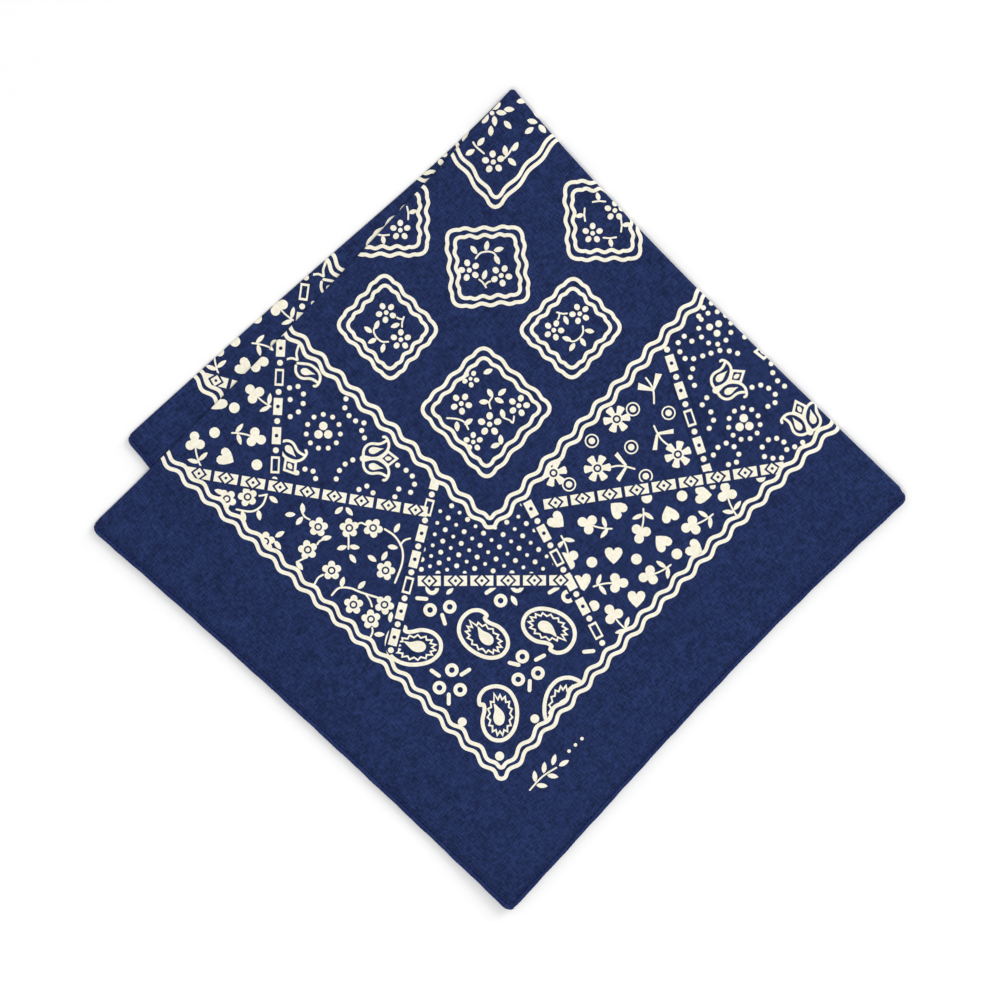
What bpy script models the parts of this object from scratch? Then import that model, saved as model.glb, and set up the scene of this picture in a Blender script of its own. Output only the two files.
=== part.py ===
"""Square cotton bandana, folded twice into quarters and laid flat.

The square is folded in half and in half again, a little off its middle, so four
quarters lie on each other. Frame: +Z up from the surface it lies on, +Y towards
the cloth's own centre, where both folds meet, and -Y towards its four free
corners. The origin is on that surface, under the middle of the folded cloth.

Nodes, from the top down:
  top_quarter       the quarter that faces up, rolled down along both folds
  hem_lower_left    its rolled hems, on the two free sides
  hem_lower_right
  second_fold       the folded edge of the lower two quarters, which peeks out
  hem_second_fold   the hem across the end of that fold
  hidden_layers     the three quarters below, as one solid layered at its edges
"""

import math

import bmesh
import bpy
from mathutils import Vector

MM = 0.001

# Driving dimensions, in millimetres.
SHEET = 1.0  # wall of the modelled cloth
GAP = 0.3  # clearance between pieces
HEM_WIDTH = 3.0  # rolled hem, from the edge to its stitch line
STACK_TOP = 4.1  # top face where all four quarters lie on each other
PAIR_TOP = 2.3  # top face where only the upper two quarters lie
LOWER_TOP = 2.3  # top face of the second fold
LOFT = 0.45  # air held under the middle of the top quarter
TUCK = 12.0  # how far the second fold runs in under the top quarter
STEP_RAMP = 9.0  # soft step of the top quarter over the lower quarters' hems
PAIR_SETBACK = 40.0  # lower quarters' hems inside the top one's, along its fold
FREE_SETBACK = 5.0  # the same at the free corners
FOLD_ROLL = 2.2  # how far in from a fold the face starts to roll down
FOOT = 0.15  # clearance of a rolled fold above the surface
FOOT_RISE = 8.0  # stretch over which the upper fold's foot climbs the second fold
SECOND_START = 16.0  # where the second fold's piece starts, from the cloth's centre
HEM_END = 1.2  # how far a hem stops short of the outline at a rounded corner
LAYER_INSET = 1.2  # the hidden quarters' free edges, inside the top quarter's
FLAT_BORDER = 0.10  # share of the cloth, along each side, where the relief fades

# Corners of the folded cloth seen from above. "blunt" is how far along its two
# sides a corner's rounding reaches.
CORNERS = {
    "centre": {"x": 6.5, "y": 198.9, "blunt": 2.0},
    "left": {"x": -198.3, "y": -14.1, "blunt": 6.0},
    "free": {"x": 4.8, "y": -199.8, "blunt": 4.5},
    "right": {"x": 198.3, "y": 0.9, "blunt": 6.0},
}
# Sides between the corners. "bow" is how far the side curves in at its deepest
# point, and "deepest" is where that is, as a share of the way along.
SIDES = {
    "upper_fold": {"start": "left", "end": "centre", "bow": 2.8, "deepest": 0.45},
    "right_fold": {"start": "centre", "end": "right", "bow": 3.9, "deepest": 0.38},
    "left_hem": {"start": "left", "end": "free", "bow": 2.0, "deepest": 0.45},
    "right_hem": {"start": "free", "end": "right", "bow": 3.8, "deepest": 0.60},
}
# Outer end of the second fold, which curves in too, on its way to the centre.
SECOND_CORNER = {"x": -181.0, "y": 29.0}
SECOND_BOW = {"bow": 1.9, "deepest": 0.78}

# Main soft ridges (height above 0) and troughs (below 0) of the top quarter.
# "heading" is the crease's direction from +X, in degrees. "length" and "width"
# are how far it reaches along and across before it fades.
CREASES = (
    {"x": 9, "y": 120, "heading": 95, "length": 62, "width": 17, "height": 0.55},
    {"x": 64, "y": 103, "heading": 130, "length": 60, "width": 26, "height": -0.45},
    {"x": 154, "y": -2, "heading": 60, "length": 34, "width": 20, "height": -0.50},
    {"x": 174, "y": 2, "heading": 135, "length": 26, "width": 9, "height": 0.40},
    {"x": -103, "y": -56, "heading": 20, "length": 24, "width": 17, "height": -0.40},
    {"x": -120, "y": 30, "heading": 47, "length": 90, "width": 22, "height": 0.30},
    {"x": -20, "y": -60, "heading": 5, "length": 55, "width": 30, "height": 0.25},
    {"x": 80, "y": -95, "heading": 47, "length": 48, "width": 16, "height": 0.30},
)

# Rolled edge of a fold, from the face round its outside and back inside the
# wall: "out" runs from 0 at the face's border to 1 at the fold's outer line,
# and "down" from 0 at the outer face to 1 at the rolled edge's foot.
OUTER_ROLL = (
    {"out": 0.55, "down": 0.10},
    {"out": 0.86, "down": 0.32},
    {"out": 1.00, "down": 0.64},
    {"out": 0.96, "down": 1.00},
)
# Layered edge of the hidden quarters: each layer's rounded side, with a groove
# between it and the next. "inset" is in millimetres, "up" a share of the layer.
LAYER_SIDE = (
    {"inset": 0.75, "up": 1.00},
    {"inset": 0.15, "up": 0.84},
    {"inset": 0.00, "up": 0.50},
    {"inset": 0.15, "up": 0.16},
)
LAYERS = 3

# Lines of the mesh. Rows cross the upper fold: four lie where only two quarters
# are stacked, the last two of them on the soft step, and the STACK_ROWS where
# all four are, as shares of that stretch. Columns run along the upper fold, as
# shares of the way from it to the lower-right hem.
APART_COUNT = 4
STACK_ROWS = (0.0, 0.07, 0.16, 0.26, 0.36, 0.46, 0.56, 0.66, 0.76, 0.85, 0.93, 0.975, 1.0)
COLUMNS = (0.0, 0.015, 0.09, 0.17, 0.26, 0.35, 0.45, 0.55, 0.65, 0.75, 0.84, 0.91, 0.96, 0.985, 1.0)


def corner(name):
    return Vector((CORNERS[name]["x"], CORNERS[name]["y"]))


def side_length(name):
    return (corner(SIDES[name]["end"]) - corner(SIDES[name]["start"])).length


def bow_depth(row, share):
    """How far a side curves in, this share of the way along it."""
    skew = math.log(0.5) / math.log(row["deepest"])
    return row["bow"] * math.sin(math.pi * min(max(share, 0.0), 1.0) ** skew)


def side_point(name, share):
    """A point of one side, curved in towards the middle of the cloth."""
    start = corner(SIDES[name]["start"])
    along = corner(SIDES[name]["end"]) - start
    inward = Vector((-along.y, along.x)).normalized()
    if inward.dot(start + along / 2) > 0:
        inward.negate()
    return start + along * share + inward * bow_depth(SIDES[name], share)


def rounded(point):
    """The point, pulled in where it is close enough to a corner to be rounded."""
    for row in CORNERS.values():
        tip = Vector((row["x"], row["y"]))
        near = 1 - (point - tip).length / row["blunt"]
        if near > 0:
            point = point - tip.normalized() * 0.35 * row["blunt"] * near**2
    return point


def plan_point(s, t):
    """s runs along the upper fold, from the left corner to the centre, and t
    from the upper fold to the lower-right hem."""
    across = side_point("left_hem", t) * (1 - s) + side_point("right_fold", t) * s
    along = side_point("upper_fold", s) * (1 - t) + side_point("right_hem", s) * t
    flat = (
        corner("left") * (1 - s) * (1 - t)
        + corner("centre") * s * (1 - t)
        + corner("free") * (1 - s) * t
        + corner("right") * s * t
    )
    return rounded(across + along - flat)


def step_share(t):
    """Where the lower quarters' hems lie, as a share s, at this t."""
    at_fold = PAIR_SETBACK / side_length("upper_fold")
    at_hem = FREE_SETBACK / side_length("right_hem")
    return at_fold * (1 - t) + at_hem * t


def smooth(x):
    x = min(max(x, 0.0), 1.0)
    return x * x * (3 - 2 * x)


def step_height(s, t):
    """Height of the top face without its loft and creases."""
    inside = (s - step_share(t)) * side_length("upper_fold") + STEP_RAMP
    rise = min(max(inside / STEP_RAMP, 0.0), 1.0)
    return PAIR_TOP + (STACK_TOP - PAIR_TOP) * rise


def relief(s, t):
    """Loft, ridges and troughs: never below 0, and fading out at the edges."""
    point = plan_point(s, t)
    height = LOFT
    for crease in CREASES:
        offset = point - Vector((crease["x"], crease["y"]))
        heading = math.radians(crease["heading"])
        along = offset.dot(Vector((math.cos(heading), math.sin(heading))))
        across = offset.dot(Vector((-math.sin(heading), math.cos(heading))))
        reach = (along / crease["length"]) ** 2 + (across / crease["width"]) ** 2
        height += crease["height"] * math.exp(-reach)
    border = smooth(min(s, 1 - s, t, 1 - t) / FLAT_BORDER)
    return max(height, 0.0) * border


def top_face(s, t):
    return step_height(s, t) + relief(s, t)


def hidden_face(s, t):
    return step_height(s, t) - SHEET - GAP


def new_material(name, colour, roughness):
    material = bpy.data.materials.new(name)
    material.use_nodes = True
    shader = material.node_tree.nodes["Principled BSDF"]
    shader.inputs["Base Color"].default_value = (*colour, 1.0)
    shader.inputs["Roughness"].default_value = roughness
    shader.inputs["Metallic"].default_value = 0.0
    return material


def finish_mesh(name, mesh_builder, material):
    """Turns a bmesh in millimetres into a named object in metres."""
    bmesh.ops.recalc_face_normals(mesh_builder, faces=mesh_builder.faces)
    bmesh.ops.scale(mesh_builder, vec=(MM, MM, MM), verts=mesh_builder.verts)
    mesh = bpy.data.meshes.new(name)
    mesh_builder.to_mesh(mesh)
    mesh_builder.free()
    mesh.shade_smooth()
    mesh.set_sharp_from_angle(angle=math.radians(50))
    mesh.materials.append(material)
    made = bpy.data.objects.new(name, mesh)
    COLLECTION.objects.link(made)
    return made


def border_of(cells):
    """The cells' outer border as grid corners in order, anticlockwise in (s, t)."""
    following = {}
    for i, j in cells:
        for neighbour, start, end in (
            ((i, j - 1), (i, j), (i + 1, j)),
            ((i + 1, j), (i + 1, j), (i + 1, j + 1)),
            ((i, j + 1), (i + 1, j + 1), (i, j + 1)),
            ((i - 1, j), (i, j + 1), (i, j)),
        ):
            if neighbour not in cells:
                following[start] = end
    first = min(following)
    loop = [first]
    while following[loop[-1]] != first:
        loop.append(following[loop[-1]])
    return loop


def slab(name, shares, cells, top, under, wall, material):
    """A sheet over a grid of cells. shares[i, j] is a grid corner's (s, t). top
    and under give the two faces' heights. wall(corner, before, after) lists the
    points of the side wall at a border corner, from the top face down, and is
    given that corner's neighbours along the border too."""
    builder = bmesh.new()
    corners = {key for i, j in cells for key in ((i, j), (i + 1, j), (i + 1, j + 1), (i, j + 1))}
    upper = {}
    lower = {}
    for key in sorted(corners):
        point = plan_point(*shares[key])
        upper[key] = builder.verts.new((*point, top(*shares[key])))
        lower[key] = builder.verts.new((*point, under(*shares[key])))
    for i, j in sorted(cells):
        ring = ((i, j), (i + 1, j), (i + 1, j + 1), (i, j + 1))
        builder.faces.new([upper[key] for key in ring])
        builder.faces.new([lower[key] for key in reversed(ring)])
    loop = border_of(cells)
    columns = []
    for index, key in enumerate(loop):
        rim = wall(key, loop[index - 1], loop[(index + 1) % len(loop)])
        between = [builder.verts.new(point) for point in rim]
        columns.append([upper[key], *between, lower[key]])
    for k, column in enumerate(columns):
        following = columns[(k + 1) % len(columns)]
        if len(column) == len(following):
            for a in range(len(column) - 1):
                builder.faces.new((column[a], column[a + 1], following[a + 1], following[a]))
            continue
        # A rolled side ends here beside a plain one: the roll gets its own end face.
        builder.faces.new((column[0], column[-1], following[-1], following[0]))
        builder.faces.new(max(column, following, key=len))
    return finish_mesh(name, builder, material)


def loft(name, sections, material):
    """A closed solid through sections of equally many points, ends filled."""
    builder = bmesh.new()
    rings = [[builder.verts.new(point) for point in section] for section in sections]
    count = len(rings[0])
    for first, second in zip(rings, rings[1:]):
        for k in range(count):
            following = (k + 1) % count
            builder.faces.new((first[k], first[following], second[following], second[k]))
    builder.faces.new(rings[0])
    builder.faces.new(reversed(rings[-1]))
    return finish_mesh(name, builder, material)


def grid_shares(s_low, s_high, t_low, t_high, columns, step_gap=0.0):
    """(s, t) of every grid corner, in a stretch that starts s_low and t_low
    millimetres inside two sides and ends s_high and t_high inside the others."""
    s_length = side_length("upper_fold")
    t_length = side_length("left_hem")
    shares = {}
    for j, column in enumerate(columns):
        t = t_low / t_length + column * (1 - (t_low + t_high) / t_length)
        bottom = s_low / s_length
        step = max(step_share(t) - step_gap / s_length, bottom + 0.005)
        ceiling = 1 - s_high / s_length
        ramp = min(STEP_RAMP / s_length / (step - bottom), 0.6)
        rows = [bottom + (step - bottom) * (1 - ramp) * share for share in (0.0, 0.5, 1.0)]
        rows.append(step - (step - bottom) * ramp / 2)
        rows += [step + (ceiling - step) * share for share in STACK_ROWS]
        for i, s in enumerate(rows):
            shares[i, j] = (s, t)
    return shares


def make_top_quarter(material):
    """The quarter that faces up: a wall that rolls down along both folds. The
    upper fold's foot rests over the second fold, and goes down to the surface
    beyond its end. The right fold's foot goes down to the surface all along."""
    inset = HEM_WIDTH + GAP
    shares = grid_shares(inset, FOLD_ROLL, FOLD_ROLL, inset, COLUMNS)
    last_row = APART_COUNT + len(STACK_ROWS) - 1
    last_column = len(COLUMNS) - 1
    cells = {(i, j) for i in range(last_row) for j in range(last_column)}

    def outward(key):
        """How far a border corner is from the folds' outer lines, as a vector."""
        s, t = shares[key]
        s_out = 1.0 if key[0] == last_row else s
        t_out = 0.0 if key[1] == 0 else t
        return plan_point(s_out, t_out) - plan_point(s, t)

    def wall(key, before, after):
        s, t = shares[key]
        point = plan_point(s, t)
        face = top_face(s, t)
        inner_face = face - SHEET
        if key[0] < last_row and key[1] > 0:
            return []
        foot = FOOT
        if key[1] == 0 and key[0] < last_row:
            past_end = (s - step_share(0)) * side_length("upper_fold")
            foot += (LOWER_TOP + GAP - FOOT) * smooth(past_end / FOOT_RISE + 1.0)
        reach = outward(key)
        points = []
        for row in OUTER_ROLL:
            points.append((*(point + reach * row["out"]), face + (foot - face) * row["down"]))
        inner = 1 - SHEET / FOLD_ROLL
        points.append((*(point + reach * (inner - 0.04)), foot))
        points.append((*(point + reach * inner), foot + (inner_face - foot) * 0.45))
        points.append((*(point + reach * inner * 0.7), foot + (inner_face - foot) * 0.85))
        return points

    return slab(
        "top_quarter",
        shares,
        cells,
        top_face,
        lambda s, t: top_face(s, t) - SHEET,
        wall,
        material,
    )


def make_hidden_layers(material):
    """The three quarters below as one solid, with a flat underside. Its edges
    are layered, and it leaves room for the second fold's piece."""
    t_length = side_length("left_hem")
    fold_inset = FOLD_ROLL
    tucked = (TUCK + GAP - fold_inset) / (t_length - fold_inset - LAYER_INSET)
    columns = (0.0, tucked / 2, tucked, *(share for share in COLUMNS if share > 2 * tucked))
    shares = grid_shares(LAYER_INSET, fold_inset, fold_inset, LAYER_INSET, columns, step_gap=GAP)
    last_row = APART_COUNT + len(STACK_ROWS) - 1
    step_row = APART_COUNT
    cells = {
        (i, j)
        for i in range(last_row)
        for j in range(len(columns) - 1)
        if i < step_row or j >= 2
    }

    def wall(key, before, after):
        s, t = shares[key]
        point = plan_point(s, t)
        along = (plan_point(*shares[after]) - plan_point(*shares[before])).normalized()
        inward = Vector((along.y, -along.x))
        height = hidden_face(s, t)
        points = []
        for layer in reversed(range(LAYERS)):
            for row in LAYER_SIDE:
                z = height * (layer + row["up"]) / LAYERS
                points.append((*(point + inward * row["inset"]), z))
        return points[1:]

    return slab("hidden_layers", shares, cells, hidden_face, lambda s, t: 0.0, wall, material)


def hem_section(outer, inner, low, high):
    """A rolled hem cut across: a flat oval with its thick side outwards."""
    shape = (
        (0.00, 0.22), (0.00, 0.78), (0.14, 0.94), (0.45, 1.00), (0.80, 0.97),
        (0.96, 0.80), (1.00, 0.50), (0.96, 0.20), (0.80, 0.03), (0.14, 0.06),
    )
    return [(*(inner.lerp(outer, a)), low + (high - low) * b) for a, b in shape]


def make_edge_hem(name, side, start, end, material):
    """A hem along one free side, from start to end millimetres inside its ends."""
    length = side_length(side)
    stops = [start, start + 1.5, start + 4.0, start + 8.0]
    steps = 17
    first = start + 16.0
    last = length - end - 16.0
    stops += [first + (last - first) * k / steps for k in range(steps + 1)]
    stops += [length - end - 8.0, length - end - 4.0, length - end - 1.5, length - end]
    sections = []
    for stop in stops:
        along = stop / length
        depth = HEM_WIDTH / side_length("upper_fold" if side == "left_hem" else "left_hem")
        if side == "left_hem":
            outer = plan_point(0.0, along)
            inner = plan_point(depth, along)
            face = top_face(depth, along)
        else:
            outer = plan_point(along, 1.0)
            inner = plan_point(along, 1.0 - depth)
            face = top_face(along, 1.0 - depth)
        sections.append(hem_section(outer, inner, face - SHEET, face))
    return loft(name, sections, material)


def second_fold_frame():
    """(outer end, direction to the cloth's centre, inward direction, length)."""
    end = Vector((SECOND_CORNER["x"], SECOND_CORNER["y"]))
    along = corner("centre") - end
    inward = Vector((along.y, -along.x)).normalized()
    return end, along.normalized(), inward, along.length


def tuck_depth(outer, inward):
    """Distance from the second fold to where its piece ends, under the top."""
    start = corner("left")
    along = (corner("centre") - start).normalized()
    inside = Vector((along.y, -along.x))
    behind = (start - outer).dot(inside)
    return (behind + TUCK) / inward.dot(inside)


def make_second_fold(material):
    """The lower pair's folded edge: two walls and the turn that joins them."""
    end, along, inward, length = second_fold_frame()
    turn = LOWER_TOP / 2
    sections = []
    steps = 16
    first = HEM_WIDTH + GAP
    last = length - SECOND_START
    for k in range(steps + 1):
        distance = first + (last - first) * k / steps
        outer = end + along * distance + inward * bow_depth(SECOND_BOW, distance / length)
        depth = tuck_depth(outer, inward)
        section = [(*(outer + inward * depth), 0.0)]
        for angle in (-90, -55, -20, 20, 55, 90):
            across = turn - turn * math.cos(math.radians(angle))
            height = turn + turn * math.sin(math.radians(angle))
            section.append((*(outer + inward * across), height))
        section.append((*(outer + inward * depth), LOWER_TOP))
        section.append((*(outer + inward * depth), LOWER_TOP - SHEET))
        section.append((*(outer + inward * (SHEET + 0.35)), LOWER_TOP - SHEET))
        section.append((*(outer + inward * SHEET), turn))
        section.append((*(outer + inward * (SHEET + 0.35)), SHEET))
        section.append((*(outer + inward * depth), SHEET))
        sections.append(section)
    return loft("second_fold", sections, material)


def make_second_hem(material):
    """The hem across the second fold's end: both plies' rolls, one on the other,
    joined where the fold turns."""
    end, along, inward, length = second_fold_frame()
    half = LOWER_TOP / 2
    shape = (
        (1.00, 0.00), (1.00, 1.00), (0.80, 1.00), (0.20, 1.00), (0.04, 0.84), (0.00, 0.70),
        (0.12, 0.50), (0.00, 0.30), (0.04, 0.16), (0.20, 0.00), (0.80, 0.00),
    )
    depth = tuck_depth(end, inward)
    stops = (0.0, 0.35, 1.1, 2.6, 6.0, 12.0, 18.0, depth)
    sections = []
    for stop in stops:
        squeeze = math.sqrt(max(1 - (1 - min(stop / 1.1, 1.0)) ** 2, 0.12))
        row = []
        for across, up in shape:
            height = half + (up - 0.5) * LOWER_TOP * squeeze
            row.append((*(end + inward * stop + along * HEM_WIDTH * across), height))
        sections.append(row)
    return loft("hem_second_fold", sections, material)


for old in list(bpy.data.objects):
    bpy.data.objects.remove(old, do_unlink=True)

COLLECTION = bpy.data.collections.new("bandana")
bpy.context.scene.collection.children.link(COLLECTION)

printed_cotton = new_material("printed_cotton", (0.021, 0.037, 0.114), 0.9)
hem_cotton = new_material("hem_cotton", (0.018, 0.032, 0.100), 0.9)
inner_cotton = new_material("inner_cotton", (0.024, 0.042, 0.125), 0.9)

make_top_quarter(printed_cotton)
make_edge_hem("hem_lower_left", "left_hem", HEM_END, GAP, hem_cotton)
make_edge_hem("hem_lower_right", "right_hem", HEM_WIDTH + GAP, HEM_END, hem_cotton)
make_second_fold(printed_cotton)
make_second_hem(hem_cotton)
make_hidden_layers(inner_cotton)
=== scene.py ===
"""Square cotton bandana, navy with a cream print, folded twice into quarters and laid flat.

The square is folded in half and in half again, a little off its middle. From the
top down lie the top quarter, print up; the second quarter, print down; the third,
print up, whose folded edge peeks out; and the bottom quarter, print down.
Frame: +Z up from the surface, +Y towards the middle of the cloth, where both folds
meet, and -Y towards its free corners. Plan sizes are in millimetres.
"""
import math
import random

import bpy
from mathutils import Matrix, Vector
from mathutils.geometry import delaunay_2d_cdt


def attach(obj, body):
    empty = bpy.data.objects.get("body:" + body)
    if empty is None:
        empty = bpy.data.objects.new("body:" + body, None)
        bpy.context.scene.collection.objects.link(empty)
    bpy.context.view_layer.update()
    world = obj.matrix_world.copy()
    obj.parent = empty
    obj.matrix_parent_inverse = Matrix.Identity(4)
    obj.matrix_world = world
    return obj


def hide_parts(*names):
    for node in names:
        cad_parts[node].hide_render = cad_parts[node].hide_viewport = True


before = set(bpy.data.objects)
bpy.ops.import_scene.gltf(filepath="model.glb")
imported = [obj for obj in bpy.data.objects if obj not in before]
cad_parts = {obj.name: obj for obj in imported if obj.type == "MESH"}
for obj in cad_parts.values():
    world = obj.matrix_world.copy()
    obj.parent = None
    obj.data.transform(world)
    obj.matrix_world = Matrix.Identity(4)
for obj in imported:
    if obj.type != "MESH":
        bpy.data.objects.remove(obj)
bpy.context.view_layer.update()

MM = 0.001

# ---------------------------------------------------------------------------
# The table it lies on, the daylight, and the camera straight above it.
# A matt white board, a soft even sky, and one big soft lamp on the upper right.
# ---------------------------------------------------------------------------

BOARD_WHITE = "#F8F8F8"
BOARD_HALF = 2.2  # metres
SEEN_WIDTH = 0.4825  # metres of board across the view
LENS = 100.0
SENSOR = 36.0
CAMERA_OVER = (0.0002, -0.0005)  # metres from the middle of the board
CLOTH_TOP = 0.004  # metres; the width seen is measured at this height
SKY_STRENGTH = 0.705


def linear(hex_colour):
    """An sRGB hex value as the linear colour a shader takes."""
    values = []
    for k in (1, 3, 5):
        level = int(hex_colour[k:k + 2], 16) / 255
        values.append(level / 12.92 if level <= 0.04045 else ((level + 0.055) / 1.055) ** 2.4)
    return (*values, 1.0)


def add_node(material, kind, settings=None, inputs=None, links=None):
    """Adds one node: its settings, its fixed inputs, and what is linked into it."""
    node = material.node_tree.nodes.new(kind)
    for name, value in (settings or {}).items():
        setattr(node, name, value)
    for name, value in (inputs or {}).items():
        node.inputs[name].default_value = value
    for name, source in (links or {}).items():
        material.node_tree.links.new(source, node.inputs[name])
    return node


def plain_material(name):
    """A new material with only its output node, and that node."""
    material = bpy.data.materials.new(name)
    material.use_nodes = True
    material.node_tree.nodes.clear()
    return material, add_node(material, "ShaderNodeOutputMaterial")


def mesh_object(name, vertices, faces, materials, face_material=None, smooth=True):
    """A mesh object from points in millimetres."""
    mesh = bpy.data.meshes.new(name)
    mesh.from_pydata([Vector(point) * MM for point in vertices], [], faces)
    for material in materials:
        mesh.materials.append(material)
    if face_material is not None:
        mesh.polygons.foreach_set("material_index", face_material)
    mesh.polygons.foreach_set("use_smooth", [smooth] * len(mesh.polygons))
    mesh.update()
    made = bpy.data.objects.new(name, mesh)
    bpy.context.scene.collection.objects.link(made)
    return made


# White laminate board: matt, so it shows only the soft shadow round the cloth.
board_laminate, board_output = plain_material("matt_white_laminate")
board_grain = add_node(
    board_laminate, "ShaderNodeTexNoise", inputs={"Scale": 900.0, "Detail": 2.0, "Roughness": 0.5}
)
board_tone = add_node(board_laminate, "ShaderNodeValToRGB", links={"Fac": board_grain.outputs["Fac"]})
board_tone.color_ramp.elements[0].color = linear("#F6F6F6")
board_tone.color_ramp.elements[1].color = linear(BOARD_WHITE)
board_shader = add_node(
    board_laminate,
    "ShaderNodeBsdfPrincipled",
    inputs={"Roughness": 0.9, "Specular IOR Level": 0.1},
    links={"Base Color": board_tone.outputs["Color"]},
)
board_laminate.node_tree.links.new(board_shader.outputs[0], board_output.inputs["Surface"])

edge = BOARD_HALF / MM
board = mesh_object(
    "board", [(-edge, -edge, 0), (edge, -edge, 0), (edge, edge, 0), (-edge, edge, 0)],
    [(0, 1, 2, 3)], [board_laminate], smooth=False,
)

sky = bpy.data.worlds.new("soft_daylight")
sky.use_nodes = True
sky.node_tree.nodes["Background"].inputs["Color"].default_value = (1.0, 1.0, 1.0, 1.0)
sky.node_tree.nodes["Background"].inputs["Strength"].default_value = SKY_STRENGTH
bpy.context.scene.world = sky


def soft_lamp(name, place, size, power):
    """A square studio lamp that points at the middle of the board, in metres and watts."""
    lamp = bpy.data.lights.new(name, "AREA")
    lamp.shape = "SQUARE"
    lamp.size = size
    lamp.energy = power
    made = bpy.data.objects.new(name, lamp)
    made.location = place
    made.rotation_euler = (-Vector(place)).to_track_quat("-Z", "Y").to_euler()
    bpy.context.scene.collection.objects.link(made)


soft_lamp("lamp_upper_right", (2.82, 2.12, 1.6), size=2.0, power=85.0)
soft_lamp("lamp_below", (-0.3, -1.15, 1.9), size=0.8, power=11.0)

lens = bpy.data.cameras.new("overhead_camera")
lens.type = "PERSP"
lens.lens = LENS
lens.sensor_width = SENSOR
lens.clip_end = 20.0
camera = bpy.data.objects.new("overhead_camera", lens)
camera.location = (*CAMERA_OVER, SEEN_WIDTH * LENS / SENSOR + CLOTH_TOP)
bpy.context.scene.collection.objects.link(camera)
bpy.context.scene.camera = camera
bpy.context.scene.view_settings.view_transform = "Standard"

# ---------------------------------------------------------------------------
# The fold plan: where the edges of the two pairs of quarters lie, seen from above.
# The cloth was folded by hand, so no side is quite straight and the lower pair has
# turned a little about the middle of the cloth.
# ---------------------------------------------------------------------------

# Corners, and how far along its sides each corner's rounding reaches.
TOP_PAIR = {
    "middle": ((6.5, 198.9), 2.0),
    "left": ((-198.3, -14.1), 6.0),
    "free": ((4.8, -199.8), 4.5),
    "right": ((198.3, 0.9), 6.0),
}
LOWER_PAIR = {
    "middle": ((6.5, 198.9), 2.0),
    "left": ((-181.0, 29.0), 4.5),
    "free": ((8.3, -196.2), 4.0),
    "right": ((198.3, 0.9), 6.0),
}
# Sides: their two corners, how far each bows in, and where along it is deepest.
TOP_SIDES = {
    "upper_fold": ("left", "middle", 2.8, 0.45),
    "right_fold": ("middle", "right", 3.9, 0.38),
    "left_hem": ("left", "free", 2.0, 0.45),
    "right_hem": ("free", "right", 3.8, 0.60),
}
LOWER_SIDES = {
    "upper_fold": ("left", "middle", 1.9, 0.78),
    "right_fold": ("middle", "right", 3.9, 0.38),
    "left_hem": ("left", "free", 0.4, 0.50),
    "right_hem": ("free", "right", 3.8, 0.60),
}


def pair_plan(corners, sides):
    """Each side's start, direction, inward direction, length and bow."""
    plan = {"corners": corners, "sides": {}}
    for name, (start, end, bow, deepest) in sides.items():
        first = Vector(corners[start][0])
        along = Vector(corners[end][0]) - first
        inward = Vector((-along.y, along.x)).normalized()
        if inward.dot(first + along / 2) > 0:
            inward.negate()
        skew = math.log(0.5) / math.log(deepest)
        plan["sides"][name] = (first, along.normalized(), inward, along.length, bow, skew)
    return plan


top_pair = pair_plan(TOP_PAIR, TOP_SIDES)
lower_pair = pair_plan(LOWER_PAIR, LOWER_SIDES)


def inside_by(plan, side, point):
    """How far a point lies in from one side of a pair."""
    first, along, inward, length, bow, skew = plan["sides"][side]
    share = min(max((point - first).dot(along) / length, 0.0), 1.0)
    return (point - first).dot(inward) - bow * math.sin(math.pi * share**skew)


MEETING_ROUNDS, LINE_ROUNDS = 14, 3  # steps that close in on a bowed side
CORNER_PULL = 0.35  # share of a rounding's reach by which its tip is pulled in


def meeting(plan, side, inset, other, other_inset):
    """The point that lies one distance in from one side and another from the other."""
    point = Vector((0.0, 0.0))
    for _ in range(MEETING_ROUNDS):
        point = point + plan["sides"][side][2] * (inset - inside_by(plan, side, point))
        point = point + plan["sides"][other][2] * (other_inset - inside_by(plan, other, point))
    return point


def line_beside(plan, side, inset, start, end, spacing):
    """Points along a side, the same distance in from it, from start towards end."""
    count = max(1, round((end - start).length / spacing))
    points = []
    for k in range(count):
        point = start.lerp(end, k / count)
        for _ in range(LINE_ROUNDS):
            point = point + plan["sides"][side][2] * (inset - inside_by(plan, side, point))
        points.append(point)
    return points


def rounded(plan, point):
    """The point, pulled in where it is close enough to a corner to be rounded."""
    for tip, blunt in plan["corners"].values():
        near = 1 - (point - Vector(tip)).length / blunt
        if near > 0:
            point = point - Vector(tip).normalized() * CORNER_PULL * blunt * near**2
    return point


def smooth(x):
    """0 below 0, 1 above 1, and an even slope between."""
    x = min(max(x, 0.0), 1.0)
    return x * x * (3 - 2 * x)


# ---------------------------------------------------------------------------
# How high each quarter lies: the middle of its thickness above the board.
# Soft air is left under the top one, with ridges and troughs from handling.
# ---------------------------------------------------------------------------

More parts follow.
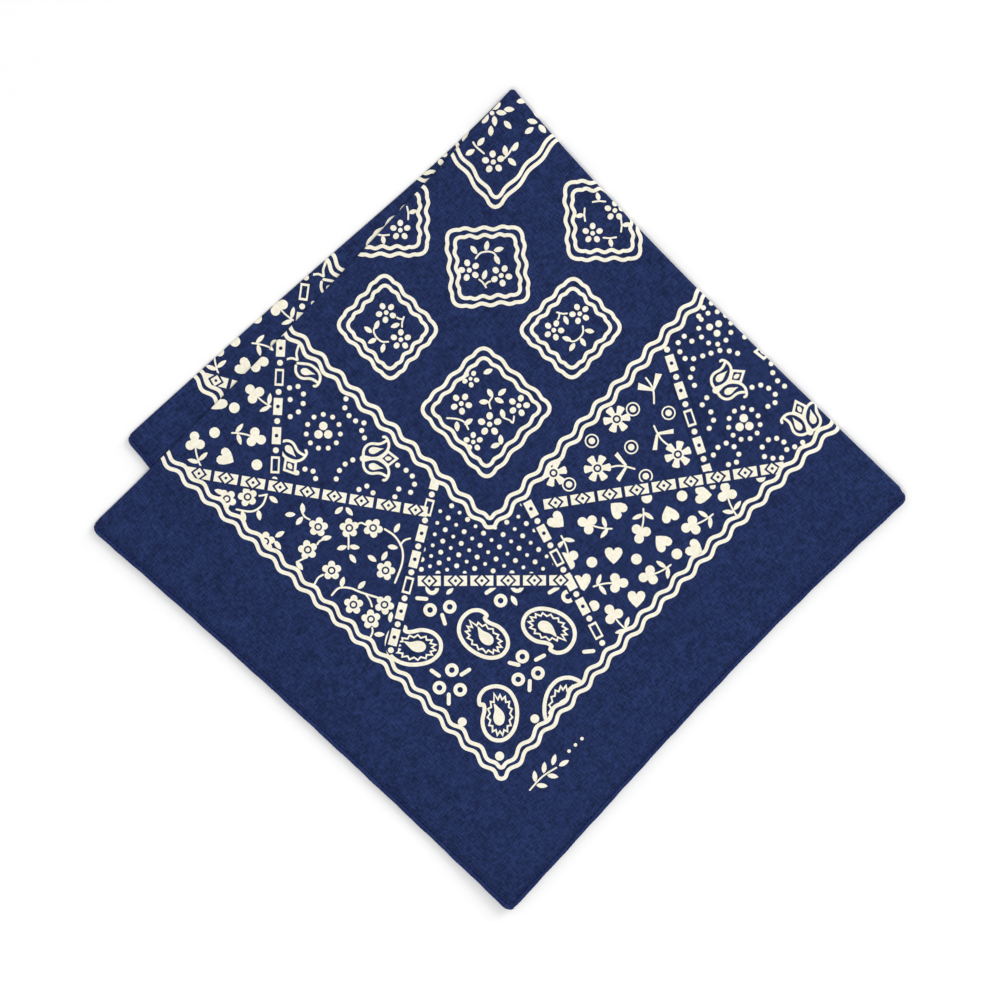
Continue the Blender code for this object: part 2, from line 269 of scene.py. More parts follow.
CLOTH = 0.3  # plain woven cotton, millimetres thick
TOP_LOW, TOP_HIGH = 1.80, 3.62  # over two quarters, and over all four
SECOND_LOW, SECOND_HIGH = 0.68, 2.58
THIRD = 1.55
BOTTOM = 0.52
STEP = 9.0  # the top pair steps down past the lower pair's hems over this stretch
LOFT = 0.8
FADE = 30.0  # the relief fades out this far from the edges
FLAT_BEYOND = 12  # where a ridge is lower than a hundred-thousandth of its height
ROLL, ROLL_DROP = 10.0, 0.85  # the upper fold's roll: how far in it reaches, and its drop
SECOND_RELIEF, THIRD_RELIEF = 0.55, 0.25  # shares of the relief that reach the lower layers
SECOND_ROLL = 0.3  # share of the roll that the second quarter takes up
BOTTOM_GAP = 0.08  # under the bottom quarter, away from its edges
BOTTOM_RAISED, BOTTOM_SINKS = 5.0, 12.0  # its edges stay up this far in, then sink over this

# Ridges (height above 0) and troughs: place, heading, reach along, across, height.
CREASES = (
    (9, 120, 95, 62, 15, 1.5),
    (64, 103, 130, 60, 24, -0.8),
    (154, -2, 60, 34, 18, -0.9),
    (174, 2, 135, 26, 9, 1.3),
    (-103, -56, 20, 24, 15, -0.9),
    (-120, 30, 47, 90, 20, 0.7),
    (-20, -60, 5, 55, 26, 0.7),
    (80, -95, 47, 48, 14, 0.9),
    (-60, -110, 138, 40, 13, 0.7),
    (120, 60, 20, 40, 12, 0.6),
)
# Slow waves of the loosely woven cloth: heading, wavelength, height, phase.
RIPPLES = (
    (20, 61.0, 0.10, 0.3),
    (77, 43.0, 0.09, 1.9),
    (128, 52.0, 0.11, 4.1),
    (160, 33.0, 0.05, 2.6),
)
crease_axes = [
    (
        Vector((x, y)),
        Vector((math.cos(math.radians(heading)), math.sin(math.radians(heading)))),
        along,
        across,
        height,
    )
    for x, y, heading, along, across, height in CREASES
]


def relief(point):
    """Loft, ridges, troughs and slow waves of the top quarter: 0 at its edges."""
    nearest = min(inside_by(top_pair, side, point) for side in top_pair["sides"])
    if nearest <= 0:
        return 0.0
    height = LOFT
    for place, direction, along, across, crease in crease_axes:
        offset = point - place
        reach = (offset.dot(direction) / along) ** 2
        reach += (offset.cross(direction) / across) ** 2
        if reach < FLAT_BEYOND:
            height += crease * math.exp(-reach)
    for heading, wavelength, swell, phase in RIPPLES:
        along = point.x * math.cos(math.radians(heading)) + point.y * math.sin(math.radians(heading))
        height += swell * math.sin(2 * math.pi * along / wavelength + phase)
    return max(height, 0.0) * smooth(nearest / FADE)


def over_lower_pair(point):
    """0 where only the top pair lies, 1 over the lower pair."""
    return smooth(inside_by(lower_pair, "left_hem", point) / STEP + 1.0)


def roll_off(point):
    """How far the upper fold's soft roll lets the cloth down, in the last stretch."""
    near = max(0.0, 1 - inside_by(top_pair, "upper_fold", point) / ROLL)
    return ROLL_DROP * near**2


def top_height(point):
    """The middle of the cloth's thickness, as for the other three quarters below."""
    step = over_lower_pair(point)
    return TOP_LOW + (TOP_HIGH - TOP_LOW) * step + relief(point) - roll_off(point) * step


def second_height(point):
    step = over_lower_pair(point)
    level = SECOND_LOW + (SECOND_HIGH - SECOND_LOW) * step
    return level + SECOND_RELIEF * relief(point) - SECOND_ROLL * roll_off(point) * step


def third_height(point):
    return THIRD + THIRD_RELIEF * relief(point)


def bottom_height(point):
    nearest = min(inside_by(lower_pair, side, point) for side in lower_pair["sides"])
    return BOTTOM - (BOTTOM - CLOTH / 2 - BOTTOM_GAP) * smooth((nearest - BOTTOM_RAISED) / BOTTOM_SINKS)


# ---------------------------------------------------------------------------
# The print: a cream pattern discharged from the navy ground, drawn flat as it lies on
# the top quarter. Small square medallions fill the middle; past an inner wavy border
# lie patches of small motifs between chain strips, an outer border and a plain margin.
# ---------------------------------------------------------------------------

GROUND, CREAM = 0, 1
print_shapes = []  # (outline, colour), and a later shape covers an earlier one


def paint(outline, colour=CREAM):
    """Keeps one printed shape, its outline turned anticlockwise."""
    area = 0.0
    for k, point in enumerate(outline):
        area += outline[k - 1][0] * point[1] - point[0] * outline[k - 1][1]
    points = [Vector((point[0], point[1])) for point in outline]
    print_shapes.append((points if area > 0 else points[::-1], colour))


def turned(points, x, y, turn, flip=False, size=1.0):
    """Points of a motif, mirrored, scaled, turned and moved to its place."""
    cosine, sine = math.cos(math.radians(turn)), math.sin(math.radians(turn))
    placed = []
    for px, py in points:
        px, py = (-px if flip else px) * size, py * size
        placed.append((x + px * cosine - py * sine, y + px * sine + py * cosine))
    return placed


def curve(points, closed=False, pieces=5):
    """A smooth line through given points."""
    count = len(points)
    found = []
    for k in range(count if closed else count - 1):
        if closed:
            a, b, c, d = (points[(k + n) % count] for n in (-1, 0, 1, 2))
        else:
            b, c = points[k], points[k + 1]
            a = points[k - 1] if k else b
            d = points[k + 2] if k + 2 < count else c
        for n in range(pieces):
            t = n / pieces
            found.append(tuple(
                0.5 * (2 * b[i] + (c[i] - a[i]) * t
                       + (2 * a[i] - 5 * b[i] + 4 * c[i] - d[i]) * t**2
                       + (3 * b[i] - a[i] - 3 * c[i] + d[i]) * t**3)
                for i in (0, 1)
            ))
    return found if closed else found + [tuple(points[-1])]


SHARPEST_LEAN = 0.45  # a line beside a sharp bend goes no further out than this allows
BEND_POINTS = 14  # how many points each way may bend back too near
BEND_CLEAR = 0.97


def beside(points, distance, closed):
    """The line that runs beside another, to its left."""
    count = len(points)
    found = []
    for k in range(count):
        before = Vector(points[k - 1] if closed or k else points[k])
        after = Vector(points[(k + 1) % count] if closed or k < count - 1 else points[k])
        here = Vector(points[k])
        a = (here - before).normalized() if (here - before).length > 1e-9 else None
        b = (after - here).normalized() if (after - here).length > 1e-9 else None
        a, b = a or b, b or a
        normal = Vector((-(a + b).y, (a + b).x))
        normal = normal.normalized() if normal.length > 1e-6 else Vector((-a.y, a.x))
        lean = max(normal.dot(Vector((-a.y, a.x))), SHARPEST_LEAN)
        moved = here + normal * distance / lean
        around = range(k - BEND_POINTS, k + BEND_POINTS + 1)
        near = [points[n % count] for n in around if closed or 0 <= n < count]
        # A point that a tight bend brings too near the line would make it cross itself.
        if min((moved - Vector(other)).length for other in near) > abs(distance) * BEND_CLEAR:
            found.append(moved)
    return found


END_REACH = 0.4  # a line's blunt ends, as a share of its width


def stroke(points, width, closed=False):
    """A line of even width. A closed one leaves its inside ground."""
    left = beside(points, width / 2, closed)
    right = beside(points, -width / 2, closed)
    if closed:
        outer, inner = sorted((left, right), key=lambda line: -sum(p.length for p in spread(line)))
        paint(outer)
        paint(inner, GROUND)
        return
    first, last = Vector(points[0]), Vector(points[-1])
    start = first + (first - Vector(points[1])).normalized() * width * END_REACH
    end = last + (last - Vector(points[-2])).normalized() * width * END_REACH
    paint([start, *left, end, *reversed(right)])


def spread(line):
    """Points of a line, about their own middle."""
    middle = sum(line, Vector((0.0, 0.0))) / len(line)
    return [point - middle for point in line]


def dot(x, y, radius, colour=CREAM):
    """A round dot, with more corners the bigger it is."""
    count = 8 if radius < 1.0 else 12 if radius < 2.0 else 18
    paint([
        (x + radius * math.cos(2 * math.pi * k / count), y + radius * math.sin(2 * math.pi * k / count))
        for k in range(count)
    ], colour)


def ring(x, y, radius, hole):
    """A dot with a hole of plain ground."""
    dot(x, y, radius)
    dot(x, y, hole, GROUND)


def leaf(x, y, turn, length=5.2, width=2.5):
    """A pointed oval, drawn about its middle, lying along +X before it is turned."""
    half = [(-1.0, 0.0), (-0.62, 0.36), (-0.1, 0.5), (0.45, 0.4), (0.8, 0.2), (1.0, 0.0)]
    shape = [(a * length / 2, b * width) for a, b in half]
    shape += [(a * length / 2, -b * width) for a, b in reversed(half[1:-1])]
    paint(turned(shape, x, y, turn))


def bar(x, y, turn):
    """A short bar with round ends."""
    length, width = 6.4, 1.9
    shape = []
    for side in (1, -1):
        for k in range(5):
            angle = math.radians(-90 + 45 * k) if side == 1 else math.radians(90 + 45 * k)
            shape.append((
                side * (length - width) / 2 + width / 2 * math.cos(angle), width / 2 * math.sin(angle)
            ))
    paint(turned(shape, x, y, turn))


def lobes(x, y, turn, count, reach, radius, core, stretch=1.0):
    """Round petals in a ring. A core joins them, where it is above 0."""
    for k in range(count):
        angle = turn + 360 * k / count
        petal = []
        for n in range(12):
            about = math.radians(30 * n)
            petal.append((reach + radius * stretch * math.cos(about), radius * math.sin(about)))
        paint(turned(petal, x, y, angle))
    if core:
        dot(x, y, core)


def vine_flower(x, y, turn):
    """Five joined petals round a ringed eye."""
    lobes(x, y, turn, 5, 3.0, 1.75, 3.1)
    dot(x, y, 1.95, GROUND)
    dot(x, y, 1.1)


def posy_flower(x, y, turn, size):
    """Five separate petals round a small eye."""
    lobes(x, y, turn, 5, 3.7 * size, 1.45 * size, 0, 1.15)
    dot(x, y, 1.2 * size)


def daisy(x, y, turn, stem=None):
    """Six square-ended petals, and where stem is a heading, a stem with two leaves."""
    petal = [(1.2, -0.8), (5.9, -1.95), (6.5, -1.2), (6.5, 1.2), (5.9, 1.95), (1.2, 0.8)]
    if stem is not None:
        stroke(turned(curve([(5.5, 0.0), (10.0, 0.5), (14.0, -0.2), (18.0, -1.6)]), x, y, stem), 0.9)
        for side in (1, -1):
            blade = [(13.4, 0.0), (8.6, 5.6 * side), (10.2, 7.2 * side), (14.4, 0.6 * side)]
            paint(turned(blade, x, y, stem))
    for k in range(6):
        paint(turned(petal, x, y, turn + 60 * k))
    dot(x, y, 2.9)
    dot(x, y, 2.0, GROUND)
    dot(x, y, 1.1)


def club(x, y, turn):
    """Three round lobes on a stem with two leaves. The stem hangs down before the turn."""
    stroke(turned(curve([(0.0, -1.5), (0.2, -5.6), (1.0, -9.4), (1.8, -11.8)]), x, y, turn), 0.85)
    lobes(x, y, turn + 90, 3, 2.75, 2.35, 2.2)
    for side, lean in ((1, 38), (-1, 160)):
        px, py = turned([(0.9 + 2.5 * side, -8.6 + (1.3 if side == 1 else -0.5))], x, y, turn)[0]
        leaf(px, py, turn + lean, 5.8, 2.2)


def heart(x, y, turn):
    """A plump heart with its tip down before the turn."""
    half = [
        (0.0, 2.0), (0.9, 3.3), (2.4, 3.7), (3.9, 2.9), (4.3, 1.2), (3.5, -0.8), (1.7, -2.9), (0.0, -4.4),
    ]
    shape = half + [(-px, py) for px, py in reversed(half[1:-1])]
    paint(turned(shape, x, y, turn))


def eyed_ring(x, y):
    """A fine ring with a dot in it."""
    ring(x, y, 3.45, 2.75)
    dot(x, y, 1.6)


def rosette(x, y, turn, radius=8.3, big=2.05):
    """Three big dots in a ring of small ones."""
    for k in range(3):
        angle = math.radians(turn + 120 * k)
        dot(x + 2.7 * math.cos(angle), y + 2.7 * math.sin(angle), big)
    for k in range(11):
        angle = math.radians(turn + 360 * k / 11)
        dot(x + radius * math.cos(angle), y + radius * math.sin(angle), 1.2)


def dots_along(points):
    """A curl of small dots, set out evenly along a smooth line."""
    pitch, radius = 4.1, 1.25
    line = [Vector(point) for point in curve(points, pieces=12)]
    since = pitch
    for a, b in zip(line, line[1:]):
        since += (b - a).length
        if since >= pitch:
            dot(b.x, b.y, radius)
            since = 0.0


def drop(x, y, turn, length, width):
    """A teardrop with its tip up before the turn."""
    half = [(0.0, 0.55), (0.14, 0.3), (0.36, 0.05), (0.5, -0.18), (0.4, -0.38), (0.16, -0.5)]
    shape = [(a * width, b * length) for a, b in half]
    shape += [(-a * width, b * length) for a, b in reversed(half[1:])]
    paint(turned(shape, x, y, turn))


def paisley(x, y, turn, flip, size):
    """A curled drop: its outline, a toothed line inside it, and a solid comma in its middle."""
    outline = (
        (-9.4, 4.6), (-9.4, 8.6), (-6.2, 12.4), (-0.4, 13.6), (5.2, 11.2), (8.6, 5.4), (9.2, -1.6),
        (7.4, -8.4), (3.0, -12.8), (-2.4, -13.0), (-6.4, -9.6), (-8.0, -4.0), (-7.0, 1.6), (-7.5, 4.4),
    )
    stroke(turned(curve(outline, closed=True), x, y, turn, flip, size), 1.9, closed=True)
    teeth = []
    for k in range(30):
        angle = 2 * math.pi * k / 30
        reach = (1.0 if k % 2 == 0 else 0.79) * (1.16 if k == 28 else 1.0)
        teeth.append((0.7 + 6.3 * reach * math.sin(angle), -0.8 + 10.1 * reach * math.cos(angle)))
    stroke(turned(teeth, x, y, turn, flip, size), 0.8, closed=True)
    kernel = curve((
        (-2.3, 5.0), (0.2, 2.9), (2.3, 0.6), (3.1, -2.2), (2.3, -4.9), (0.2, -5.9), (-1.9, -4.6),
        (-2.6, -1.8), (-2.0, 1.6),
    ), closed=True)
    paint(turned(kernel, x, y, turn, flip, size))


def lotus(x, y, turn, petals=(False, True), bud=True):
    """Two petals with curled tips and drops in them, and a diamond bud between. Where a
    border or strip hides one petal, only the other is drawn, and so for the bud."""
    inner = (
        (0.1, -7.2), (0.1, -3.9), (0.4, -0.9), (1.9, 1.8), (4.0, 3.8), (6.3, 4.5), (8.6, 4.1),
        (10.3, 2.9), (10.4, 1.6),
    )
    outer = ((1.2, -7.8), (4.0, -7.6), (6.2, -6.2), (7.2, -3.9), (7.0, -0.7), (7.4, 1.2), (8.5, 3.2))
    for flip in petals:
        stroke(turned(curve(inner), x, y, turn, flip), 1.3)
        stroke(turned(curve(outer), x, y, turn, flip), 1.3)
        px, py = turned([(4.1, -1.7)], x, y, turn, flip)[0]
        drop(px, py, turn + (10 if flip else -10), 7.0, 3.5)
    if len(petals) == 2:
        foot = [(-1.8, -8.2), (0.0, -8.8), (1.8, -8.2), (0.9, -4.5), (0.0, -0.6), (-0.9, -4.5)]
        paint(turned(foot, x, y, turn))
        dot(*turned([(0.0, -8.0)], x, y, turn)[0], 1.55)
    if bud:
        stroke(turned([(0.0, 0.4), (3.3, 4.2), (0.0, 8.4), (-3.3, 4.2)], x, y, turn), 1.2, closed=True)
        leaf(*turned([(0.0, 4.2)], x, y, turn)[0], turn + 90, 3.4, 2.2)


# Corner patch: paisleys, rings, bars and dots.
for x, y, turn, flip in (
    (-41.2, -70.9, 90, True), (-7.8, -66, 55, True), (23.8, -62.6, -112, True), (-0.5, -103.5, 0, False),
    (30.8, -99.0, -12, True),
):
    paisley(x, y, turn, flip, 0.97)
for x, y in (
    (-23, -82.5), (-29, -91), (-19, -92), (11, -76), (18.5, -84), (9, -87), (-33.5, -53.5), (-24, -52),
    (0.5, -49), (-32.5, -43), (8.5, -42), (33, -47),
):
    ring(x, y, 3.3, 1.4)
for x, y, turn in (
    (-31, -84, -35), (-16.5, -83.5, 33), (-24.5, -96.5, 90), (7, -79.5, -14), (19.5, -76.5, 28),
    (14.5, -90, 88), (-37.5, -48, -5), (-27, -58, -72), (-4.5, -44, 35), (26, -44, 30), (43, -73.5, 5),
):
    bar(x, y, turn)
leaf(7, -49, -60, 5.6, 2.6)
leaf(-24, -44.5, 40, 4.6, 2.2)
for x, y, radius in ((-18, -107.5, 2.15), (17, -106, 2.15), (0, -124, 2.2)):
    dot(x, y, radius)

# Left patch: vines with five-petal flowers and leaves.
for points, width in (
    (((-55.5, -14.5), (-50.5, -18), (-47, -24), (-47, -31), (-50.5, -40.5)), 1.0),
    (((-48, -22.5), (-46, -20), (-43, -19)), 0.9),
    (((-81, -46.5), (-77.5, -43), (-72, -43), (-67, -45), (-59, -47.5)), 1.0),
    (((-64.5, -46), (-62.5, -49), (-61.5, -52)), 0.9),
    (((-89.5, -41.5), (-87.5, -38), (-85, -36.5)), 0.9),
    (((-127, -5), (-119.5, -6), (-114.5, -3), (-112.5, 1.5)), 1.0),
    (((-61.5, -62), (-61.2, -64), (-62.2, -66.5)), 0.9),
    (((-72.9, -17.6), (-72.8, -20.5), (-72.9, -24.2)), 0.9),
    (((-95.5, -6), (-94, -8.5), (-91.5, -10)), 0.9),
    (((-88, -22), (-87, -20.5), (-85, -19.5)), 0.9),
    (((-98, -30.5), (-96, -29.5), (-94, -28.5)), 0.9),
    (((-69, -12.5), (-66.8, -11.5), (-64.5, -12.5)), 0.9),
    (((-116, 1.5), (-114, 1.8), (-112, 2.2)), 0.9),
):
    stroke(curve(points), width)
for x, y, turn in (
    (-95, -4.5, 95), (-101, -7.5, 2), (-96.5, -10.5, 50), (-77.5, -5.5, 40), (-72.5, -6, -50),
    (-106, -17, 30), (-107, -22.2, -55), (-83.5, -18.8, 12), (-76, -23.5, 15), (-70, -23.2, -8),
    (-70.8, -28.8, -55), (-96.5, -32.2, -52), (-61.5, -28.7, -35), (-55.5, -27.5, 60), (-49.5, -14, 60),
    (-51.5, -23.2, -10), (-75.8, -40, 75), (-66.5, -41.5, 45), (-58, -65.3, 0), (-52.5, -57, 82),
    (-116, -7.8, -80), (-123.5, -8.2, -70), (-109, -0.3, -38), (-135, 3.5, 160),
):
    leaf(x, y, turn)
for x, y, turn in (
    (-87.5, -13.5, 80), (-72.5, -14, 95), (-61, -14, 60), (-92.5, -24.5, 100), (-81, -34.5, 90),
    (-55, -34.5, 70), (-70.5, -51, 85), (-55.5, -51, 60), (-62, -58, 95), (-121.5, 1, 30),
    (-113, -20.5, 85), (-131.5, 0, 45),
):
    vine_flower(x, y, turn)

# Right patch: clubs, hearts and dots.
for x, y, turn in (
    (42.5, -12, 70), (68, -16.5, 165), (92.5, -13, 110), (109.5, 3, 15), (57, -40.5, 270), (72, -37, 108),
    (54.5, -55.5, 35), (33.5, -29, 190), (125, 13, 80),
):
    club(x, y, turn)
for x, y, turn in (
    (27.5, -10.5, 50), (57, -5, 230), (82, -7.5, 200), (98, 2, 90), (78.5, -21, 225), (55, -27, 0),
    (94, -24, 60), (40, -40, 10), (66, -48, 0),
):
    heart(x, y, turn)
for x, y in ((88, 1.5), (44.5, -30.5), (66, -29), (85.5, -26.5), (45.5, -51.5), (71, 0.5)):
    dot(x, y, 2.6)

# Patch at the left of the upper fold: the same clubs and hearts.
for x, y, turn in (
    (-118.5, 51, 45), (-117.5, 29.5, 250), (-147, 27.5, 5), (-116.5, 66, 155), (-136, 66, 60),
):
    club(x, y, turn)
for x, y, turn in ((-132, 20, 60), (-136, 46.5, -45), (-118, 77, 20)):
    heart(x, y, turn)
for x, y in ((-128, 44), (-137.5, 32), (-117, 16.5), (-127, 60), (-109, 84)):
    dot(x, y, 2.6)

# Patch inside it: rosette, lotuses and curls of dots.
rosette(-85, 32.5, 90)
lotus(-57.9, 19.5, -90)
lotus(-103.3, 19.4, 212, petals=(True,))
lotus(-90.4, 65.0, -95, petals=(False,), bud=False)
stroke(curve(((-97.6, 67.0), (-100.4, 67.9), (-104.2, 66.9))), 1.1)
stroke(curve(((-97.4, 67), (-98, 70.2), (-97.0, 74))), 1.1)
for points in (
    ((-101.5, 53.5), (-97.5, 54.5), (-94.2, 49), (-97, 42), (-104.5, 38.2)),
    ((-74, 48.5), (-74.5, 43.5), (-70.5, 38.2), (-63.5, 36.3)),
    ((-66.5, 33.2), (-66, 29.6), (-62, 30.2)),
    ((-70.5, 19), (-76.5, 15), (-79.8, 6.5)),
    ((-49.5, 16.5), (-43, 12.2), (-41, 7.5), (-43, 3)),
    ((-68, 4.5), (-64, 6.2), (-60, 1.5)),
    ((-48.5, 5), (-50.5, 1)),
    ((-98, 12.5), (-93, 14.5), (-88.5, 12), (-89.5, 8)),
    ((-101, 48), (-100.5, 47)),
):
    dots_along(points)

# Patch inside the right strip: daisies, eyed rings and sprigs.
daisy(47.2, 14.8, 5, 4)
daisy(86, 21.5, 20, 135)
daisy(26, 12.5, 15)
daisy(56.5, 38.5, 10)
for x, y in ((63.5, 25), (70.5, 11), (33.5, 7), (44.5, 28), (81.5, 41.5), (64.3, 43.3)):
    eyed_ring(x, y)
stroke(curve(((70.5, 58.5), (74, 53), (74.5, 46))), 0.9)
paint([(73.6, 52), (75.2, 60.6), (78.4, 60.2), (74.6, 52.2)])
paint([(73.8, 52), (66.6, 52.7), (67, 56.1), (74.2, 53.1)])

# Patch at the right fold: rosettes, lotuses and curls of dots.
rosette(104, 82.5, 50, 7.9, 1.7)
rosette(118, 36.3, 95, 7.7)
lotus(110.8, 56.8, -56)
lotus(146.5, 39.5, 25)
lotus(131.7, 71, 90, petals=())
for points in (
    ((93, 76), (88.8, 78.5), (86, 74), (90, 67.5), (98, 69), (108, 71.8), (118.5, 69)),
    ((93.2, 63), (92, 59), (94, 54.8)),
    ((131, 65.5), (132, 60.5), (135.5, 55.6), (140, 53.6)),
    ((121.5, 53.8), (127, 54.8), (133, 50.5), (132, 45), (127, 45)),
    ((100, 49), (98, 45.5), (94, 46.2)),
    ((101.8, 42.2), (103.2, 38), (100.8, 33.6)),
    ((103, 21), (106, 25.5), (111, 26.8), (115.3, 22), (114, 17.5), (109.5, 16.5)),
    ((126.5, 24.8), (130.5, 29), (136.5, 28.4), (138, 24), (142, 25), (146.4, 27.4)),
    ((127.5, 20.5), (132.3, 19.6), (138, 20)),
    ((112, 90), (117, 84), (118.5, 76)),
    ((96, 88), (99, 93), (104, 95)),
):
    dots_along(points)

# Polka-dot patch under the inner border: big and small dots by turns on a slanted grid.
for row in range(-12, 12):
    for column in range(-9, 10):
        x = -3.9 + 3.85 * row - 5.6 * column + 0.11 * max(column, 0) ** 2
        y = -19.8 - 3.3 * row - 2.65 * column + 0.09 * max(column, 0) ** 2
        if -37 < y < -1 and -34 + 0.247 * (y - 4.5) < x < 15.5 - 0.54 * (y + 3):
            dot(x, y, 1.2 if (row + column) % 2 else 0.95)

# Chain strips: between the patches, on a band of plain ground.


def band(start, end, width):
    """A straight band of plain ground."""
    stroke([start, end], width)
    points, _ = print_shapes.pop()
    print_shapes.append((points, GROUND))


def bead_strip(start, end, kinds):
    """Beads and small plates in turn. A plate is bored, or has an open middle."""
    first, last = Vector(start), Vector(end)
    heading = math.degrees(math.atan2((last - first).y, (last - first).x))
    band(first, last, 6.4)
    pitch = (last - first).length / len(kinds)
    half_length, half_width = 4.1, 2.15
    plate = [
        (-half_length, -half_width), (half_length, -half_width), (half_length, half_width),
        (-half_length, half_width),
    ]
    for k, kind in enumerate(kinds):
        place = first.lerp(last, (k + 0.5) / len(kinds))
        paint(turned(plate, place.x, place.y, heading))
        if kind == "b":
            dot(place.x, place.y, 0.95, GROUND)
        else:
            inner = [(px * 0.72, py * 0.6) for px, py in plate]
            paint(turned(inner, place.x, place.y, heading), GROUND)
        bead = first + (last - first).normalized() * (k * pitch)
        dot(bead.x, bead.y, 1.45)
    dot(last.x, last.y, 1.45)


def diamond_strip(start, end, count):
    """Blocks in a row, each split by a diamond with a dot in its middle."""
    first, last = Vector(start), Vector(end)
    heading = math.degrees(math.atan2((last - first).y, (last - first).x))
    band(first, last, 7.0)
    for k in range(count):
        place = first.lerp(last, k / (count - 1))
        half = (last - first).length / (count - 1) * 0.435
        block = [(-half, -2.45), (half, -2.45), (half, 2.45), (-half, 2.45)]
        paint(turned(block, place.x, place.y, heading))
        for reach, colour in ((4.0, GROUND), (2.7, CREAM)):
            diamond = [(-reach, 0.0), (0.0, -reach), (reach, 0.0), (0.0, reach)]
            paint(turned(diamond, place.x, place.y, heading), colour)
        dot(place.x, place.y, 0.75, GROUND)


bead_strip((-105.3, 79.8), (-108.5, 9.4), "bobbo")
bead_strip((12, 1.1), (49.5, -69.4), "bbobbo")
bead_strip((-29.4, 14.7), (-52.4, -72.9), "bobbobb")
bead_strip((80.8, 72.1), (102.8, 6.1), "bbobb")
diamond_strip((-145, 12.3), (-40.5, -5.3), 9)
diamond_strip((-33.9, -39.5), (29.5, -39.2), 6)
diamond_strip((27, -1.8), (131.5, 14.7), 9)

# Wavy borders: two cords side by side, with a wave about every 12 mm. They turn a
# rounded corner, and the outer one has the plain margin outside it.
CORD = 1.9
CORDS_APART = 3.8
WAVE = 12.3
WAVE_DEPTH = 1.05
WAVE_STARTS = 6  # the wave grows over this distance from the corner
TIP_PULL = 0.36  # share of a rounding's reach by which its tip is pulled in


def border_cord(left_end, corner, right_end, inset, round_by, bows):
    """One wavy line, inset towards the middle of the cloth from its outer fellow."""
    left, tip, right = Vector(left_end), Vector(corner), Vector(right_end)
    left_way, right_way = (left - tip).normalized(), (right - tip).normalized()
    inward_left = Vector((left_way.y, -left_way.x))
    inward_right = Vector((-right_way.y, right_way.x))
    bisector = (left_way + right_way).normalized()
    moved = tip + bisector * inset / abs(bisector.dot(inward_left))
    line = []
    reach = int((left - tip).length)
    for k in range(-reach, int((right - tip).length) + 1):
        way, inward, bow, whole = (
            (left_way, inward_left, bows[0], (left - tip).length) if k < 0
            else (right_way, inward_right, bows[1], (right - tip).length)
        )
        distance = abs(k)
        point = moved + way * distance + inward * bow * math.sin(math.pi * distance / whole)
        pull = max(0.0, 1 - distance / round_by)
        point = point + bisector * round_by * TIP_PULL * pull**2
        wave = -math.cos(2 * math.pi * (distance + inset) / WAVE) * smooth(distance / WAVE_STARTS)
        line.append(point + inward * wave * WAVE_DEPTH)
    return line


def wavy_border(left_end, corner, right_end, cover_inside, cover_outside, rounding, bows):
    """Both cords of a border, and the plain ground that they bound."""
    outer = border_cord(left_end, corner, right_end, 0.0, rounding[0], bows)
    inner = border_cord(left_end, corner, right_end, CORDS_APART, rounding[1], bows)
    # Plain ground, out to corners that lie well past the cloth.
    if cover_outside:
        paint([*inner, Vector((260.0, -300.0)), Vector((-260.0, -300.0))], GROUND)
    if cover_inside:
        paint([*outer, Vector((200.0, 320.0)), Vector((-200.0, 320.0))], GROUND)
    stroke(outer, CORD)
    stroke(inner, CORD)


wavy_border(
    (-179, 33.7), (1.0, -136), (181, 52.6), cover_inside=False, cover_outside=True,
    rounding=(3.0, 3.0), bows=(1.6, 2.9),
)
wavy_border(
    (-120.8, 97.3), (-4.5, -15.8), (113.4, 113.3), cover_inside=True, cover_outside=False,
    rounding=(6.0, 3.0), bows=(0.0, -0.5),
)

# Medallions: two wavy square cords round a posy.


def wavy_square(corners, size, round_by=5.0):
    """A four-cornered wavy line, scaled about its middle, with rounded corners."""
    depth, waves, wave_starts = 0.6, 4, 2.5
    corner_pieces, side_pieces = 6, 32
    points = [Vector(corner) for corner in corners]
    centre = sum(points, Vector((0.0, 0.0))) / 4
    points = [centre + (point - centre) * size for point in points]
    line = []
    for k, corner in enumerate(points):
        before = (points[k - 1] - corner).normalized()
        after = points[(k + 1) % 4] - corner
        length = after.length
        after = after.normalized()
        for n in range(corner_pieces):
            t = n / corner_pieces
            line.append(corner + before * round_by * (1 - t) ** 2 + after * round_by * t**2)
        outward = Vector((after.y, -after.x))
        if outward.dot(corner - centre) < 0:
            outward.negate()
        for n in range(side_pieces):
            place = round_by + (length - 2 * round_by) * n / side_pieces
            taper = smooth((min(place, length - place) - round_by) / wave_starts)
            wave = math.cos(2 * math.pi * waves * place / length) * taper * depth
            line.append(corner + after * place + outward * wave)
    return line


def medallion(*corners):
    """Two wavy square cords, one inside the other."""
    apart, half_of_diagonal = 3.7, 0.707
    middle = sum((Vector(corner) for corner in corners), Vector((0.0, 0.0))) / 4
    half = (Vector(corners[0]) - middle).length * half_of_diagonal
    stroke(wavy_square(corners, 1.0), 1.85, closed=True)
    stroke(wavy_square(corners, (half - apart) / half, 3.6), 1.8, closed=True)


